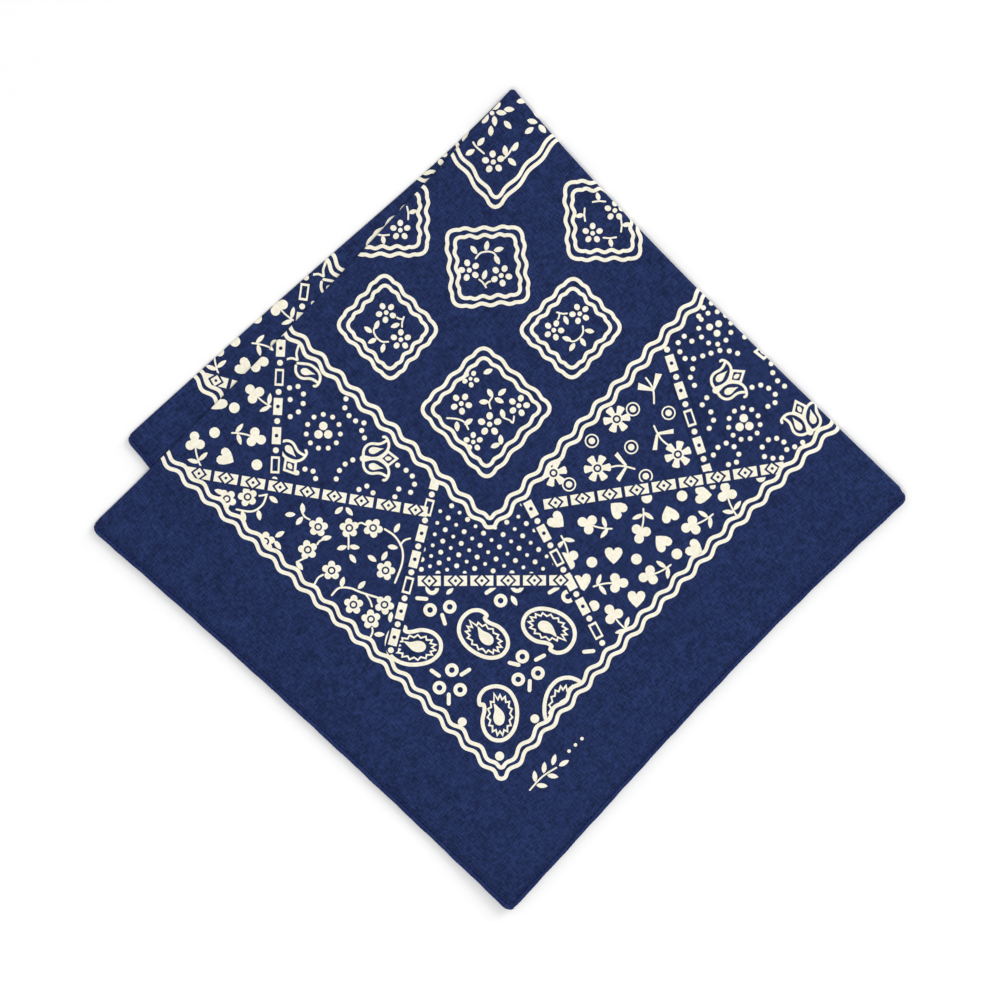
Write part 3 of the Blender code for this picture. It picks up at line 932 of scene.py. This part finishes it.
def posy(x, y, turn, size=1.0):
    """Two flowers, an arched twig with four leaves over them, and a forked sprig."""
    def at(px, py):
        return turned([(px, py)], x, y, turn, size=size)[0]

    for points in (
        ((-5.6, 3.4), (-3.4, 6.0), (0.0, 6.8), (3.0, 6.2), (4.4, 4.6)),
        ((-4.0, -6.6), (-2.2, -8.0), (-0.4, -10.6)),
        ((-0.9, -9.2), (0.4, -8.0), (1.6, -7.6)),
    ):
        stroke(turned(curve(points), x, y, turn, size=size), 0.85)
    for px, py, heading in (
        (-6.4, 7.6, -52), (-0.2, 9.6, 80), (5.6, 7.8, 15), (4.8, 2.8, -62), (-1.2, -4.4, 72),
    ):
        leaf(*at(px, py), turn + heading, 5.0 * size, 2.5 * size)
    posy_flower(*at(-8.6, -2.2), turn + 106, size)
    posy_flower(*at(6.8, -4.8), turn + 136, size)


def leaf_tick(x, y, turn):
    """A short stalk with one leaf."""
    stroke(turned([(0.0, -3.2), (0.4, 0.0), (0.0, 3.2)], x, y, turn), 0.85)
    px, py = turned([(2.6, 0.4)], x, y, turn)[0]
    leaf(px, py, turn + 12, 4.2, 2.3)


medallion((-7.9, 74.4), (25.9, 44), (-6.1, 9.1), (-38.9, 43.3))
for x, y, turn, size in (
    (-18.5, 46, 60, 1.0), (-4.8, 36, 90, 1.1), (9.3, 45, 75, 1.0), (-12.7, 27.5, 90, 0.9),
    (-14, 58, 60, 0.8),
):
    posy_flower(x, y, turn, size)
for x, y, turn in (
    (-4.5, 51, -60), (1.2, 51.5, 40), (-7.5, 46.8, 0), (-0.2, 47.5, -25), (1.5, 41, -75), (-20.5, 35, -85),
    (-15, 37.2, 35), (-2, 25.8, 20), (0.6, 28.6, 95), (-5.6, 61.5, 25),
):
    leaf(x, y, turn, 5.0, 2.6)
for points in (
    ((-3.6, 49), (-5, 46.5), (-4.3, 43.5)),
    ((2.2, 39), (4.8, 38), (6.4, 36.8), (7, 40)),
    ((-25.5, 39), (-20.5, 38.6), (-17, 37), (-15, 33.5)),
):
    stroke(curve(points), 0.85)

medallion((-55.6, 109.5), (-28.9, 81.7), (-52.6, 56.4), (-79.3, 83.9))
posy(-54.3, 82, 128, 0.95)
medallion((35.6, 108), (59.7, 82.8), (35, 56.9), (8.8, 81.3))
posy(34, 82.3, 222, 0.95)
medallion((-25.8, 129.6), (10.6, 131.1), (14.2, 95.2), (-22.4, 92.7))
posy(-6, 112.5, 0)
medallion((31.3, 152.9), (65.3, 153.2), (68.3, 116), (33.4, 115.7))
posy_flower(44.9, 128.2, 90, 0.95)
posy_flower(55.6, 139.2, 90, 0.95)
for x, y, turn in ((48, 143.4, 92), (41.2, 137.2, 182), (58.6, 132, 0), (53.2, 126.2, -88)):
    leaf_tick(x, y, turn)
medallion((-71, 151.5), (-35, 151.5), (-35, 117.9), (-71, 117.9))
posy_flower(-47.9, 129.7, 90, 0.95)
posy_flower(-58, 141, 60, 0.95)
for x, y, turn in ((-44.4, 138, 5), (-56.4, 127.6, -92)):
    leaf_tick(x, y, turn)

medallion((-2.2, 138.8), (42.5, 190), (6, 236), (-38, 186))
posy_flower(-3, 162.5, 95, 1.05)
stroke(curve(((-12.8, 172.3), (-11.3, 170), (-7.4, 166.6))), 0.9)
stroke(curve(((1.4, 163.6), (4, 166), (6.2, 169.5))), 0.9)
for x, y, turn in (
    (-14.2, 167.3, 30), (-9, 172.4, 50), (2.7, 168, 95), (7.6, 169.9, 60), (6, 162.5, -42),
    (4.6, 188, 0), (0.8, 186.4, -8), (-2.4, 182.4, -85), (-4.2, 177.6, 88), (3.9, 180.5, -48),
    (-6.8, 183.4, 55), (-1.4, 189.6, 40), (15.8, 182.2, -15), (14.3, 177.8, 35), (20.6, 178.6, -50),
    (10.7, 192.1, 10), (18, 186, -55),
):
    leaf(x, y, turn, 5.2, 2.7)
dot(-3.6, 186.3, 1.1)

# In the margin by the corner: a leaf sprig and three dots.
stroke(curve(((14.5, -140.5), (20.5, -134), (27.5, -129.5))), 0.8)
for x, y, turn in (
    (17, -133.8, 95), (21.5, -129.6, 85), (26.2, -125.8, 75), (20.4, -138.2, -5), (25.6, -133.6, -10),
    (31, -127.4, 30),
):
    leaf(x, y, turn, 5.6, 2.4)
for x, y in ((33.5, -121.6), (36.6, -118.6), (39.7, -115.6)):
    dot(x, y, 0.9)

# ---------------------------------------------------------------------------
# Top quarter: one quarter of the square in thin plain-woven cotton, print up. Along
# the upper fold it turns down into the second quarter, and along the right fold it
# turns down round the whole stack into the bottom quarter.
# ---------------------------------------------------------------------------

UPPER_TURN = 1.3  # how far in from the fold's outer line a fold starts to turn down
RIGHT_TURN = 2.2
UNDER = 7.0  # how far a turned edge runs on underneath, to meet the next quarter
CORNER_TURN = 2.3  # the two folds meet round a curve of this radius
MEETS = 0.3  # left between a turned edge, underneath, and the quarter it runs on as
HEM_WIDTH = 3.0
HEM_GAP = 0.01  # between the edge of the sheet and its hem
GRID = 4.0  # spacing of the points of a sheet

# Discharge-printed cotton muslin. Dyed navy threads, crossed one over one at about
# 28 to the centimetre, too fine to show; the weave is drawn about twice as coarse,
# with the slubs of uneven yarn along both ways of the threads.
WEAVE_MM = 0.8
BANDS_1_MM = 314.16  # the scale of a wave texture whose bands lie 1 mm apart
THREAD_WAYS = (46.0, -44.0)  # headings of the warp and the weft
SLUB_SCALE, SLUB_STRETCH = 1500.0, 0.22  # slubs 0.7 mm wide and 3 mm long
MOTTLE_SCALE, MOTTLE_SHOWS = 160.0, 0.45  # uneven dye, in patches about 6 mm across
TONE_LOW, TONE_HIGH = 1.12, 1.42  # sums of the patterns at the deep and the light colour
NAVY, NAVY_DEEP = "#2A3A6B", "#101B3B"


def cotton(name, light, deep, sheen, bump, weave_show):
    """Woven cotton: colour varied by slubs and weave, matt, with a fine raised weave."""
    material, output = plain_material(name)
    place = add_node(material, "ShaderNodeTexCoord")
    tones = []
    threads = []
    for turn in THREAD_WAYS:
        threadwise = add_node(
            material, "ShaderNodeMapping", inputs={"Rotation": (0.0, 0.0, math.radians(turn))},
            links={"Vector": place.outputs["Object"]},
        )
        stretched = add_node(
            material, "ShaderNodeMapping", inputs={"Scale": (SLUB_STRETCH, 1.0, 1.0)},
            links={"Vector": threadwise.outputs["Vector"]},
        )
        slub = add_node(
            material, "ShaderNodeTexNoise", inputs={"Scale": SLUB_SCALE, "Detail": 2.0, "Roughness": 0.6},
            links={"Vector": stretched.outputs["Vector"]},
        )
        tones.append(slub.outputs["Fac"])
        thread = add_node(
            material, "ShaderNodeTexWave", {"bands_direction": "Y"},
            inputs={"Scale": BANDS_1_MM / WEAVE_MM, "Distortion": 0.6, "Detail": 1.0},
            links={"Vector": threadwise.outputs["Vector"]},
        )
        threads.append(thread.outputs["Fac"])
    mottle = add_node(
        material, "ShaderNodeTexNoise", inputs={"Scale": MOTTLE_SCALE, "Detail": 3.0, "Roughness": 0.65},
        links={"Vector": place.outputs["Object"]},
    )
    slubs = add_node(material, "ShaderNodeMath", {"operation": "ADD"}, links={0: tones[0], 1: tones[1]})
    weave = add_node(
        material, "ShaderNodeMath", {"operation": "MULTIPLY"}, links={0: threads[0], 1: threads[1]}
    )
    woven = add_node(
        material, "ShaderNodeMath", {"operation": "MULTIPLY_ADD"}, inputs={1: weave_show},
        links={0: weave.outputs[0], 2: slubs.outputs[0]},
    )
    mottled = add_node(
        material, "ShaderNodeMath", {"operation": "MULTIPLY_ADD"}, inputs={1: MOTTLE_SHOWS},
        links={0: mottle.outputs["Fac"], 2: woven.outputs[0]},
    )
    share = add_node(
        material, "ShaderNodeMapRange",
        inputs={
            "From Min": TONE_LOW, "From Max": TONE_HIGH + weave_show * 0.5, "To Min": 0.0, "To Max": 1.0,
        },
        links={"Value": mottled.outputs[0]},
    )
    colour = add_node(
        material, "ShaderNodeMix", {"data_type": "RGBA"}, links={"Factor": share.outputs[0]}
    )
    colour.inputs[6].default_value = linear(deep)
    colour.inputs[7].default_value = linear(light)
    raised = add_node(
        material, "ShaderNodeBump", inputs={"Strength": bump, "Distance": 0.0002},
        links={"Height": mottled.outputs[0]},
    )
    shader = add_node(
        material, "ShaderNodeBsdfPrincipled",
        inputs={
            "Roughness": 0.92, "IOR": 1.5, "Specular IOR Level": 0.12,
            "Sheen Weight": sheen, "Sheen Roughness": 0.5,
        },
        links={"Base Color": colour.outputs[2], "Normal": raised.outputs["Normal"]},
    )
    material.node_tree.links.new(shader.outputs[0], output.inputs["Surface"])
    return material


navy_cotton = cotton(
    "navy_dyed_cotton_muslin", NAVY, NAVY_DEEP, sheen=0.03, bump=0.35, weave_show=0.5
)
# Where the dye was discharged the thread is warm off-white, a little flatter.
cream_print = cotton(
    "discharge_printed_cream", "#F7F3E3", "#E9E4CF", sheen=0.02, bump=0.2, weave_show=0.1
)


def fold_edge(folds, point):
    """How far a point lies in from the folded edges, which way is in, and how much
    that edge is the right fold. The two folds meet round a small curve."""
    upper = right = 1e9
    plan = folds["plan"]
    if folds["upper"]:
        upper = inside_by(plan, "upper_fold", point)
    if folds["right"]:
        right = inside_by(plan, "right_fold", point) - folds.get("inset", 0.0)
    a, b = CORNER_TURN - upper, CORNER_TURN - right
    into_upper, into_right = plan["sides"]["upper_fold"][2], plan["sides"]["right_fold"][2]
    if a > 0 and b > 0:
        reach = math.hypot(a, b)
        return CORNER_TURN - reach, (into_upper * a + into_right * b).normalized(), (b / reach) ** 2
    if upper < right:
        return upper, into_upper, 0.0
    return right, into_right, 1.0


def half_turn(start_in, rise):
    """Length of cloth that a fold takes up, from its upper face to its lower one."""
    return math.pi * math.sqrt((start_in**2 + rise**2) / 2)


def laid(folds, point):
    """Where a point of the flat quarter comes to lie once its edges are turned."""
    distance, inward, is_right = fold_edge(folds, point)
    start_in = folds["upper"] * (1 - is_right) + folds["right"] * is_right
    if distance >= start_in:
        return (*rounded(folds["plan"], point), folds["height"](point))
    base = point + inward * (start_in - distance)
    lower = folds["below_upper"], folds["below_right"]
    high = folds["height"](base)
    low = lower[0](base) * (1 - is_right) + lower[1](base) * is_right
    rise = (high - low) / 2
    whole = half_turn(start_in, rise)
    travelled = start_in - distance
    if travelled <= whole:
        angle = math.pi * travelled / whole
        plan_point = base - inward * start_in * math.sin(angle)
        return (*rounded(folds["plan"], plan_point), (high + low) / 2 + rise * math.cos(angle))
    plan_point = base + inward * (travelled - whole)
    level = lower[0](plan_point) * (1 - is_right) + lower[1](plan_point) * is_right
    return (*plan_point, level)


def quarter_outline(plan, upper, right, left_hem, right_hem, rounding=None):
    """The cut outline of a quarter, each edge a given distance in from its side. With
    rounding, the corner between the folds is trimmed to a curve of those two reaches."""
    a = meeting(plan, "left_hem", left_hem, "upper_fold", upper)
    b = meeting(plan, "left_hem", left_hem, "right_hem", right_hem)
    c = meeting(plan, "right_hem", right_hem, "right_fold", right)
    points = line_beside(plan, "left_hem", left_hem, a, b, GRID)
    points += line_beside(plan, "right_hem", right_hem, b, c, GRID)
    if rounding is None:
        d = meeting(plan, "right_fold", right, "upper_fold", upper)
        points += line_beside(plan, "right_fold", right, c, d, GRID)
        return points + line_beside(plan, "upper_fold", upper, d, a, GRID)
    near_right = meeting(plan, "right_fold", right, "upper_fold", CORNER_TURN)
    near_upper = meeting(plan, "upper_fold", upper, "right_fold", CORNER_TURN)
    points += line_beside(plan, "right_fold", right, c, near_right, GRID)
    points += [near_right, *corner_curve(plan, *rounding), near_upper]
    return points + line_beside(plan, "upper_fold", upper, near_upper, a, GRID)[1:]


def corner_curve(plan, right_reach, upper_reach):
    """A quarter circle round the corner of the folds, from the right fold to the upper."""
    middle = meeting(plan, "upper_fold", CORNER_TURN, "right_fold", CORNER_TURN)
    out_right, out_upper = -plan["sides"]["right_fold"][2], -plan["sides"]["upper_fold"][2]
    points = []
    for k in range(7):
        angle = math.pi / 2 * k / 6
        reach = right_reach + (upper_reach - right_reach) * k / 6
        points.append(middle + (out_right * math.cos(angle) + out_upper * math.sin(angle)) * reach)
    return points


def fold_rows(plan, folds, left_hem, right_hem, rise_upper, rise_right, rows=9):
    """Lines of points that run along the turned edges, so that they turn smoothly."""
    lines = []
    whole_upper = half_turn(folds["upper"] or 1.0, rise_upper)
    whole_right = half_turn(folds["right"] or 1.0, rise_right)
    inset = folds.get("inset", 0.0)
    for k in range(rows):
        share = k / (rows - 1)
        upper = (folds["upper"] or 0.0) - whole_upper * share
        right = (folds["right"] or 0.0) - whole_right * share + inset
        line = []
        if folds["upper"]:
            a = meeting(plan, "left_hem", left_hem, "upper_fold", upper)
            b = meeting(plan, "upper_fold", upper, "right_fold", CORNER_TURN)
            line += line_beside(plan, "upper_fold", upper, a, b, GRID)
        if folds["upper"] and folds["right"]:
            line += reversed(corner_curve(plan, CORNER_TURN - right, CORNER_TURN - upper))
        if folds["right"]:
            start = CORNER_TURN if folds["upper"] else folds["starts"]
            a = meeting(plan, "right_fold", right, "upper_fold", start)
            b = meeting(plan, "right_fold", right, "right_hem", right_hem)
            line += line_beside(plan, "right_fold", right, a, b, GRID)
        lines.append(line)
    return lines


def printed_sheet(name, folds, outline, rows, shapes, materials):
    """One quarter as a sheet, cut along the print's outlines so that each printed
    shape has its own faces, then laid with its edges turned."""
    points = list(outline)
    faces = [list(range(len(outline)))]
    colours = [GROUND]
    edges = []
    for line in rows:
        first = len(points)
        points += line
        edges += [(first + k, first + k + 1) for k in range(len(line) - 1)]
    for shape, colour in shapes:
        first = len(points)
        points += shape
        faces.append(list(range(first, first + len(shape))))
        colours.append(colour)
    low = [min(point[i] for point in outline) for i in (0, 1)]
    high = [max(point[i] for point in outline) for i in (0, 1)]
    for i in range(int((high[0] - low[0]) / GRID)):
        for j in range(int((high[1] - low[1]) / GRID)):
            points.append(Vector((low[0] + (i + 0.5 + 0.5 * (j % 2)) * GRID, low[1] + (j + 0.5) * GRID)))
    area = sum(outline[k - 1].cross(point) for k, point in enumerate(outline))
    if area < 0:
        faces[0].reverse()
    flat, _, triangles, _, _, origins = delaunay_2d_cdt(points, edges, faces, 0, 1e-5, True)
    kept = [k for k, origin in enumerate(origins) if 0 in origin]
    used = sorted({index for k in kept for index in triangles[k]})
    renumbered = {index: n for n, index in enumerate(used)}
    sheet = mesh_object(
        name,
        [laid(folds, flat[index]) for index in used],
        [[renumbered[index] for index in triangles[k]] for k in kept],
        materials,
        [colours[max(origins[k])] for k in kept],
    )
    thickness = sheet.modifiers.new("thickness", "SOLIDIFY")
    thickness.thickness = CLOTH * MM
    thickness.offset = 0.0
    return sheet


top_folds = {
    "plan": top_pair, "upper": UPPER_TURN, "right": RIGHT_TURN, "height": top_height,
    "below_upper": second_height, "below_right": bottom_height,
}
upper_rise = (TOP_HIGH - SECOND_HIGH) / 2
right_rise = (TOP_HIGH - BOTTOM) / 2
upper_out = half_turn(UPPER_TURN, upper_rise) - UPPER_TURN
right_out = half_turn(RIGHT_TURN, right_rise) - RIGHT_TURN
top_outline = quarter_outline(
    top_pair, -upper_out - UNDER, -right_out - UNDER, HEM_WIDTH + HEM_GAP, HEM_WIDTH + HEM_GAP,
    (CORNER_TURN + right_out, CORNER_TURN + upper_out),
)
top_rows = fold_rows(top_pair, top_folds, HEM_WIDTH, HEM_WIDTH, upper_rise, right_rise)
top_quarter = printed_sheet(
    "top_quarter_cloth", top_folds, top_outline, top_rows, print_shapes, [navy_cotton, cream_print]
)
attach(top_quarter, "root")
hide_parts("top_quarter")

# ---------------------------------------------------------------------------
# Second quarter: under the top one, wrong side up, so no print shows. It turns down
# along the right fold, inside the top quarter's turn, into the third quarter.
# ---------------------------------------------------------------------------

INNER_TURN = 1.1  # where its own right fold starts to turn down
INNER_INSET = 1.5  # the inner turn lies this far inside the outer one
LOWER_INSET = 1.2  # the lower quarters' right hems lie inside the top one's
SECOND_INSET = 0.6  # and the second quarter's hems, this far
NO_RISE = 0.5  # stands in for the rise of a side that isn't turned

second_starts = UPPER_TURN + UNDER + MEETS
second_folds = {
    "plan": top_pair, "upper": 0.0, "right": INNER_TURN, "inset": INNER_INSET,
    "starts": second_starts, "height": second_height,
    "below_upper": third_height, "below_right": third_height,
}
inner_rise = (SECOND_HIGH - THIRD) / 2
inner_out = half_turn(INNER_TURN, inner_rise) - INNER_TURN
second_outline = quarter_outline(
    top_pair, second_starts, INNER_INSET - inner_out - UNDER, HEM_WIDTH + HEM_GAP + SECOND_INSET,
    LOWER_INSET + HEM_WIDTH + HEM_GAP,
)
second_rows = fold_rows(top_pair, second_folds, HEM_WIDTH, HEM_WIDTH, NO_RISE, inner_rise, 7)
# The wrong side of the same muslin: a shade duller, with no discharged pattern drawn.
wrong_side = cotton(
    "navy_cotton_wrong_side", "#2B3B68", "#223055", sheen=0.03, bump=0.3, weave_show=0.35
)
second_quarter = printed_sheet(
    "second_quarter_cloth", second_folds, second_outline, second_rows, [], [wrong_side]
)
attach(second_quarter, "root")
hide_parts("hidden_layers")

# ---------------------------------------------------------------------------
# Third quarter: print up. Its folded edge peeks out past the top pair on the upper
# left, and turns down there into the bottom quarter. The same print shows on it,
# nearer the middle of the cloth because the square isn't folded quite in half.
# ---------------------------------------------------------------------------

# The printed motif that lies at the first place on the top quarter lies at the second
# on the lower pair, which has also turned by this much.
TOP_PLACE, LOWER_PLACE = Vector((-131.8, 31.3)), Vector((-122.3, 75.0))
LOWER_TURNED = -5.0
PRINT_SHOWS = 34.0  # the hidden part of the third quarter's print isn't drawn


def lower_print(points):
    """An outline of the print, moved to where it lies on the lower pair."""
    moved = [(point.x - TOP_PLACE.x, point.y - TOP_PLACE.y) for point in points]
    return [Vector(point) for point in turned(moved, LOWER_PLACE.x, LOWER_PLACE.y, LOWER_TURNED)]


lower_shapes = [(lower_print(points), colour) for points, colour in print_shapes]
third_shapes = [
    (points, colour)
    for points, colour in lower_shapes
    if min(inside_by(lower_pair, "upper_fold", point) for point in points) < PRINT_SHOWS
]
third_folds = {
    "plan": lower_pair, "upper": UPPER_TURN, "right": 0.0, "height": third_height,
    "below_upper": bottom_height, "below_right": bottom_height,
}
lower_rise = (THIRD - BOTTOM) / 2
lower_out = half_turn(UPPER_TURN, lower_rise) - UPPER_TURN
third_outline = quarter_outline(
    lower_pair, -lower_out - UNDER, INNER_INSET + INNER_TURN + UNDER + MEETS, HEM_WIDTH + HEM_GAP,
    LOWER_INSET + HEM_WIDTH + HEM_GAP,
)
third_rows = fold_rows(lower_pair, third_folds, HEM_WIDTH, HEM_WIDTH, lower_rise, NO_RISE)
third_quarter = printed_sheet(
    "third_quarter_cloth", third_folds, third_outline, third_rows, third_shapes,
    [navy_cotton, cream_print],
)
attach(third_quarter, "root")
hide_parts("second_fold")

# ---------------------------------------------------------------------------
# Bottom quarter: print down on the board, joined to the third quarter by its fold
# and to the top quarter by the outer turn of the right fold.
# ---------------------------------------------------------------------------

bottom_folds = {
    "plan": lower_pair, "upper": 0.0, "right": 0.0, "height": bottom_height,
    "below_upper": bottom_height, "below_right": bottom_height,
}
bottom_outline = quarter_outline(
    lower_pair, UPPER_TURN + UNDER + MEETS, RIGHT_TURN + UNDER + MEETS, HEM_WIDTH + HEM_GAP,
    LOWER_INSET + HEM_WIDTH + HEM_GAP,
)
bottom_quarter = printed_sheet(
    "bottom_quarter_cloth", bottom_folds, bottom_outline, [], lower_shapes, [navy_cotton, cream_print]
)
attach(bottom_quarter, "root")
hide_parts("hidden_layers")

# ---------------------------------------------------------------------------
# Rolled hems: the four cut edges are turned in twice, 3 mm wide, and lockstitched
# 2.2 mm in from the edge. Each hem runs on round the fold to the quarter below. The
# stitches draw the cloth in, so the hem puckers a little all along.
# ---------------------------------------------------------------------------

HEM_THICK = 0.86
HEM_FINE, HEM_COARSE = 0.6, 2.5  # spacing of the sections, where a hem shows and under it
HEM_REACH = 0.66  # how far out the hem reaches round a fold, as a share of the fold's turn
TURN_PIECES = 10
THICK_VARIES = 0.05
PUCKER_PULL, WANDER_PULL = 0.025, 0.09  # how far the edge is drawn in at a stitch, and by hand
END_SQUEEZE = (0.35, 0.8)  # thickness of the last two sections at each end
STITCH_PITCH = 2.4
STITCH_LONG = 2.0
STITCH_THICK = 0.62  # real thread is 0.3 mm, too thin to show
STITCH_AT = 0.27  # as a share of the hem's width, out from its inner edge

# Three plies of the muslin, pressed by the seam, so a shade deeper than the ground.
hem_cotton = cotton("navy_rolled_hem", "#283866", "#14204A", sheen=0.03, bump=0.45, weave_show=0.45)

# The hem cut across: shares of its width, out from its inner edge, and of its thickness.
# The seam presses a groove along its upper face.
HEM_SECTION = (
    (0.00, 0.24), (0.05, 0.38), (0.12, 0.44), (0.17, 0.26), (0.27, -0.02), (0.37, 0.26), (0.44, 0.48),
    (0.72, 0.50), (0.90, 0.38), (1.00, 0.08), (0.99, -0.16), (0.88, -0.40), (0.70, -0.50),
    (0.30, -0.48), (0.08, -0.32), (0.00, -0.10),
)


def hem_stations(length, turn_in, spacing):
    """How far from the fold each section of a hem lies on one quarter."""
    count = int((length - turn_in) / spacing)
    return [turn_in + (length - turn_in) * k / count for k in range(count + 1)]


def rolled_hem(name, plan, side, fold, turn_in, uppers, lowers, insets, ends):
    """A hem on both quarters of a pair, in one piece round their fold. insets are the
    hems' distances in from the side, and ends the distances in from the far side."""
    length = plan["sides"][side][3]
    out_fold = -plan["sides"][fold][2]
    stations = []
    for place in reversed(hem_stations(length - ends[0], turn_in, HEM_FINE)):
        stations.append((place, 0.0, insets[0]))
    for k in range(1, TURN_PIECES):
        angle = math.pi * k / TURN_PIECES
        share = k / TURN_PIECES
        place = turn_in * (1 - HEM_REACH * math.sin(angle))
        stations.append((place, angle, insets[0] * (1 - share) + insets[1] * share))
    for place in hem_stations(length - ends[1], turn_in, HEM_COARSE):
        stations.append((place, math.pi, insets[1]))
    vertices = []
    faces = []
    count = len(HEM_SECTION)
    last = len(stations) - 1
    for n, (place, angle, inset) in enumerate(stations):
        outer = meeting(plan, side, inset, fold, place)
        inner = meeting(plan, side, inset + HEM_WIDTH, fold, place)
        base = meeting(plan, side, inset + HEM_WIDTH, fold, max(place, turn_in))
        high, low = uppers(base), lowers(base)
        level = (high + low) / 2 + (high - low) / 2 * math.cos(angle)
        pucker = math.sin(2 * math.pi * place / STITCH_PITCH)
        wander = math.sin(place * 0.23 + inset) + 0.6 * math.sin(place * 0.57 + 1.3)
        thick = HEM_THICK * (1 + THICK_VARIES * pucker + THICK_VARIES * wander)
        end = min(n, last - n)
        squeeze = END_SQUEEZE[end] if end < len(END_SQUEEZE) else 1.0
        for across, up in HEM_SECTION:
            pull = PUCKER_PULL * pucker * across + WANDER_PULL * wander * across
            spot = inner + (outer - inner) * across
            spot = spot - (outer - inner).normalized() * pull
            rise = up * thick * squeeze
            spot = rounded(plan, spot) + out_fold * math.sin(angle) * rise
            vertices.append((spot.x, spot.y, level + rise * math.cos(angle)))
    for n in range(last):
        for k in range(count):
            a, b = n * count + k, n * count + (k + 1) % count
            faces.append((a, b, b + count, a + count))
    faces.append(tuple(reversed(range(count))))
    faces.append(tuple(last * count + k for k in range(count)))
    return mesh_object(name, vertices, faces, [hem_cotton])


hem_left = rolled_hem(
    "rolled_hem_left", top_pair, "left_hem", "upper_fold", UPPER_TURN, top_height, second_height,
    insets=(0.0, SECOND_INSET), ends=(0.3, 3.2),
)
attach(hem_left, "root")
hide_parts("hem_lower_left")

hem_right = rolled_hem(
    "rolled_hem_right", top_pair, "right_hem", "right_fold", RIGHT_TURN, top_height, bottom_height,
    insets=(0.0, LOWER_INSET), ends=(HEM_WIDTH - 0.4, HEM_WIDTH + 9.0),
)
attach(hem_right, "root")
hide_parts("hem_lower_right")

hem_second = rolled_hem(
    "rolled_hem_second_fold", lower_pair, "left_hem", "upper_fold", UPPER_TURN, third_height,
    bottom_height, insets=(0.0, 0.0), ends=(LOWER_INSET + 3.2, LOWER_INSET + 3.2),
)
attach(hem_second, "root")
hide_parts("hem_second_fold")

hem_inner = rolled_hem(
    "rolled_hem_inner", top_pair, "right_hem", "right_fold", INNER_INSET + INNER_TURN, second_height,
    third_height, insets=(SECOND_INSET, LOWER_INSET), ends=(HEM_WIDTH + 0.9, HEM_WIDTH + 9.0),
)
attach(hem_inner, "root")
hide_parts("hidden_layers")

# ---------------------------------------------------------------------------
# Lockstitches: navy cotton thread, about ten to the inch, lying in the groove that
# it presses along the inner edge of each hem that shows.
# ---------------------------------------------------------------------------

# Mercerised navy sewing thread, sunk in its groove: a thin line darker than the cloth. Its colour is the
# thread's own navy deepened with painted shade of the groove it lies in.
thread_navy_groove_shade, thread_output = plain_material("navy_thread_painted_groove_shade")
thread_place = add_node(thread_navy_groove_shade, "ShaderNodeTexCoord")
thread_twist = add_node(
    thread_navy_groove_shade, "ShaderNodeTexNoise", inputs={"Scale": 2500.0, "Detail": 1.0},
    links={"Vector": thread_place.outputs["Object"]},
)
thread_and_painted_groove_shade_tone = add_node(thread_navy_groove_shade, "ShaderNodeValToRGB", links={"Fac": thread_twist.outputs["Fac"]})
# Near-black: the thread's own navy plus painted shade of its groove.
thread_and_painted_groove_shade_tone.color_ramp.elements[0].color = linear("#0A1028")
thread_and_painted_groove_shade_tone.color_ramp.elements[1].color = linear("#151F42")
thread_shader = add_node(
    thread_navy_groove_shade, "ShaderNodeBsdfPrincipled", inputs={"Roughness": 0.85, "Specular IOR Level": 0.05},
    links={"Base Color": thread_and_painted_groove_shade_tone.outputs["Color"]},
)
thread_navy_groove_shade.node_tree.links.new(thread_shader.outputs[0], thread_output.inputs["Surface"])

STITCH_SIDES = 8
# Rings of a stitch: their place along it, their height, and the thread's thickness there.
STITCH_RINGS = (
    (0.0, -0.16, 0.5), (0.18, -0.03, 0.95), (0.5, 0.03, 1.0), (0.82, -0.03, 0.95), (1.0, -0.16, 0.5),
)

random.seed(7)
stitch_points = []
stitch_faces = []


def stitch(start, end):
    """One stitch: a short length of thread, its ends dipping into the cloth."""
    along = end - start
    sideways = Vector((-along.y, along.x, 0.0)).normalized()
    first = len(stitch_points)
    last = first + (len(STITCH_RINGS) - 1) * STITCH_SIDES
    for share, dip, thick in STITCH_RINGS:
        centre = start + along * share + Vector((0.0, 0.0, dip))
        for k in range(STITCH_SIDES):
            angle = 2 * math.pi * k / STITCH_SIDES
            reach = STITCH_THICK / 2 * thick
            around = sideways * math.cos(angle) + Vector((0.0, 0.0, 1.0)) * math.sin(angle)
            stitch_points.append(centre + around * reach)
    for ring_start in range(first, last, STITCH_SIDES):
        for k in range(STITCH_SIDES):
            a = ring_start + k
            b = ring_start + (k + 1) % STITCH_SIDES
            stitch_faces.append((a, b, b + STITCH_SIDES, a + STITCH_SIDES))
    stitch_faces.append(tuple(reversed(range(first, first + STITCH_SIDES))))
    stitch_faces.append(tuple(range(last, last + STITCH_SIDES)))


def stitch_row(plan, side, fold, height, starts, ends):
    """Stitches along one hem, each a little uneven in length."""
    inset = HEM_WIDTH * (1 - STITCH_AT)
    groove = 0.03 * HEM_THICK
    place = starts
    while place + STITCH_LONG < ends:
        a = meeting(plan, side, inset, fold, place)
        b = meeting(plan, side, inset, fold, place + STITCH_LONG + random.uniform(-0.12, 0.12))
        base_a = meeting(plan, side, HEM_WIDTH, fold, place)
        base_b = meeting(plan, side, HEM_WIDTH, fold, place + STITCH_LONG)
        stitch(
            Vector((a.x, a.y, height(base_a) + groove)), Vector((b.x, b.y, height(base_b) + groove))
        )
        place += STITCH_PITCH


stitch_row(top_pair, "left_hem", "upper_fold", top_height, 2.6, top_pair["sides"]["left_hem"][3] - 3.4)
stitch_row(top_pair, "right_hem", "right_fold", top_height, 3.6, top_pair["sides"]["right_hem"][3] - 3.4)
stitch_row(lower_pair, "left_hem", "upper_fold", third_height, 2.6, 30.0)
stitches = mesh_object("hem_stitches", stitch_points, stitch_faces, [thread_navy_groove_shade])
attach(stitches, "root")
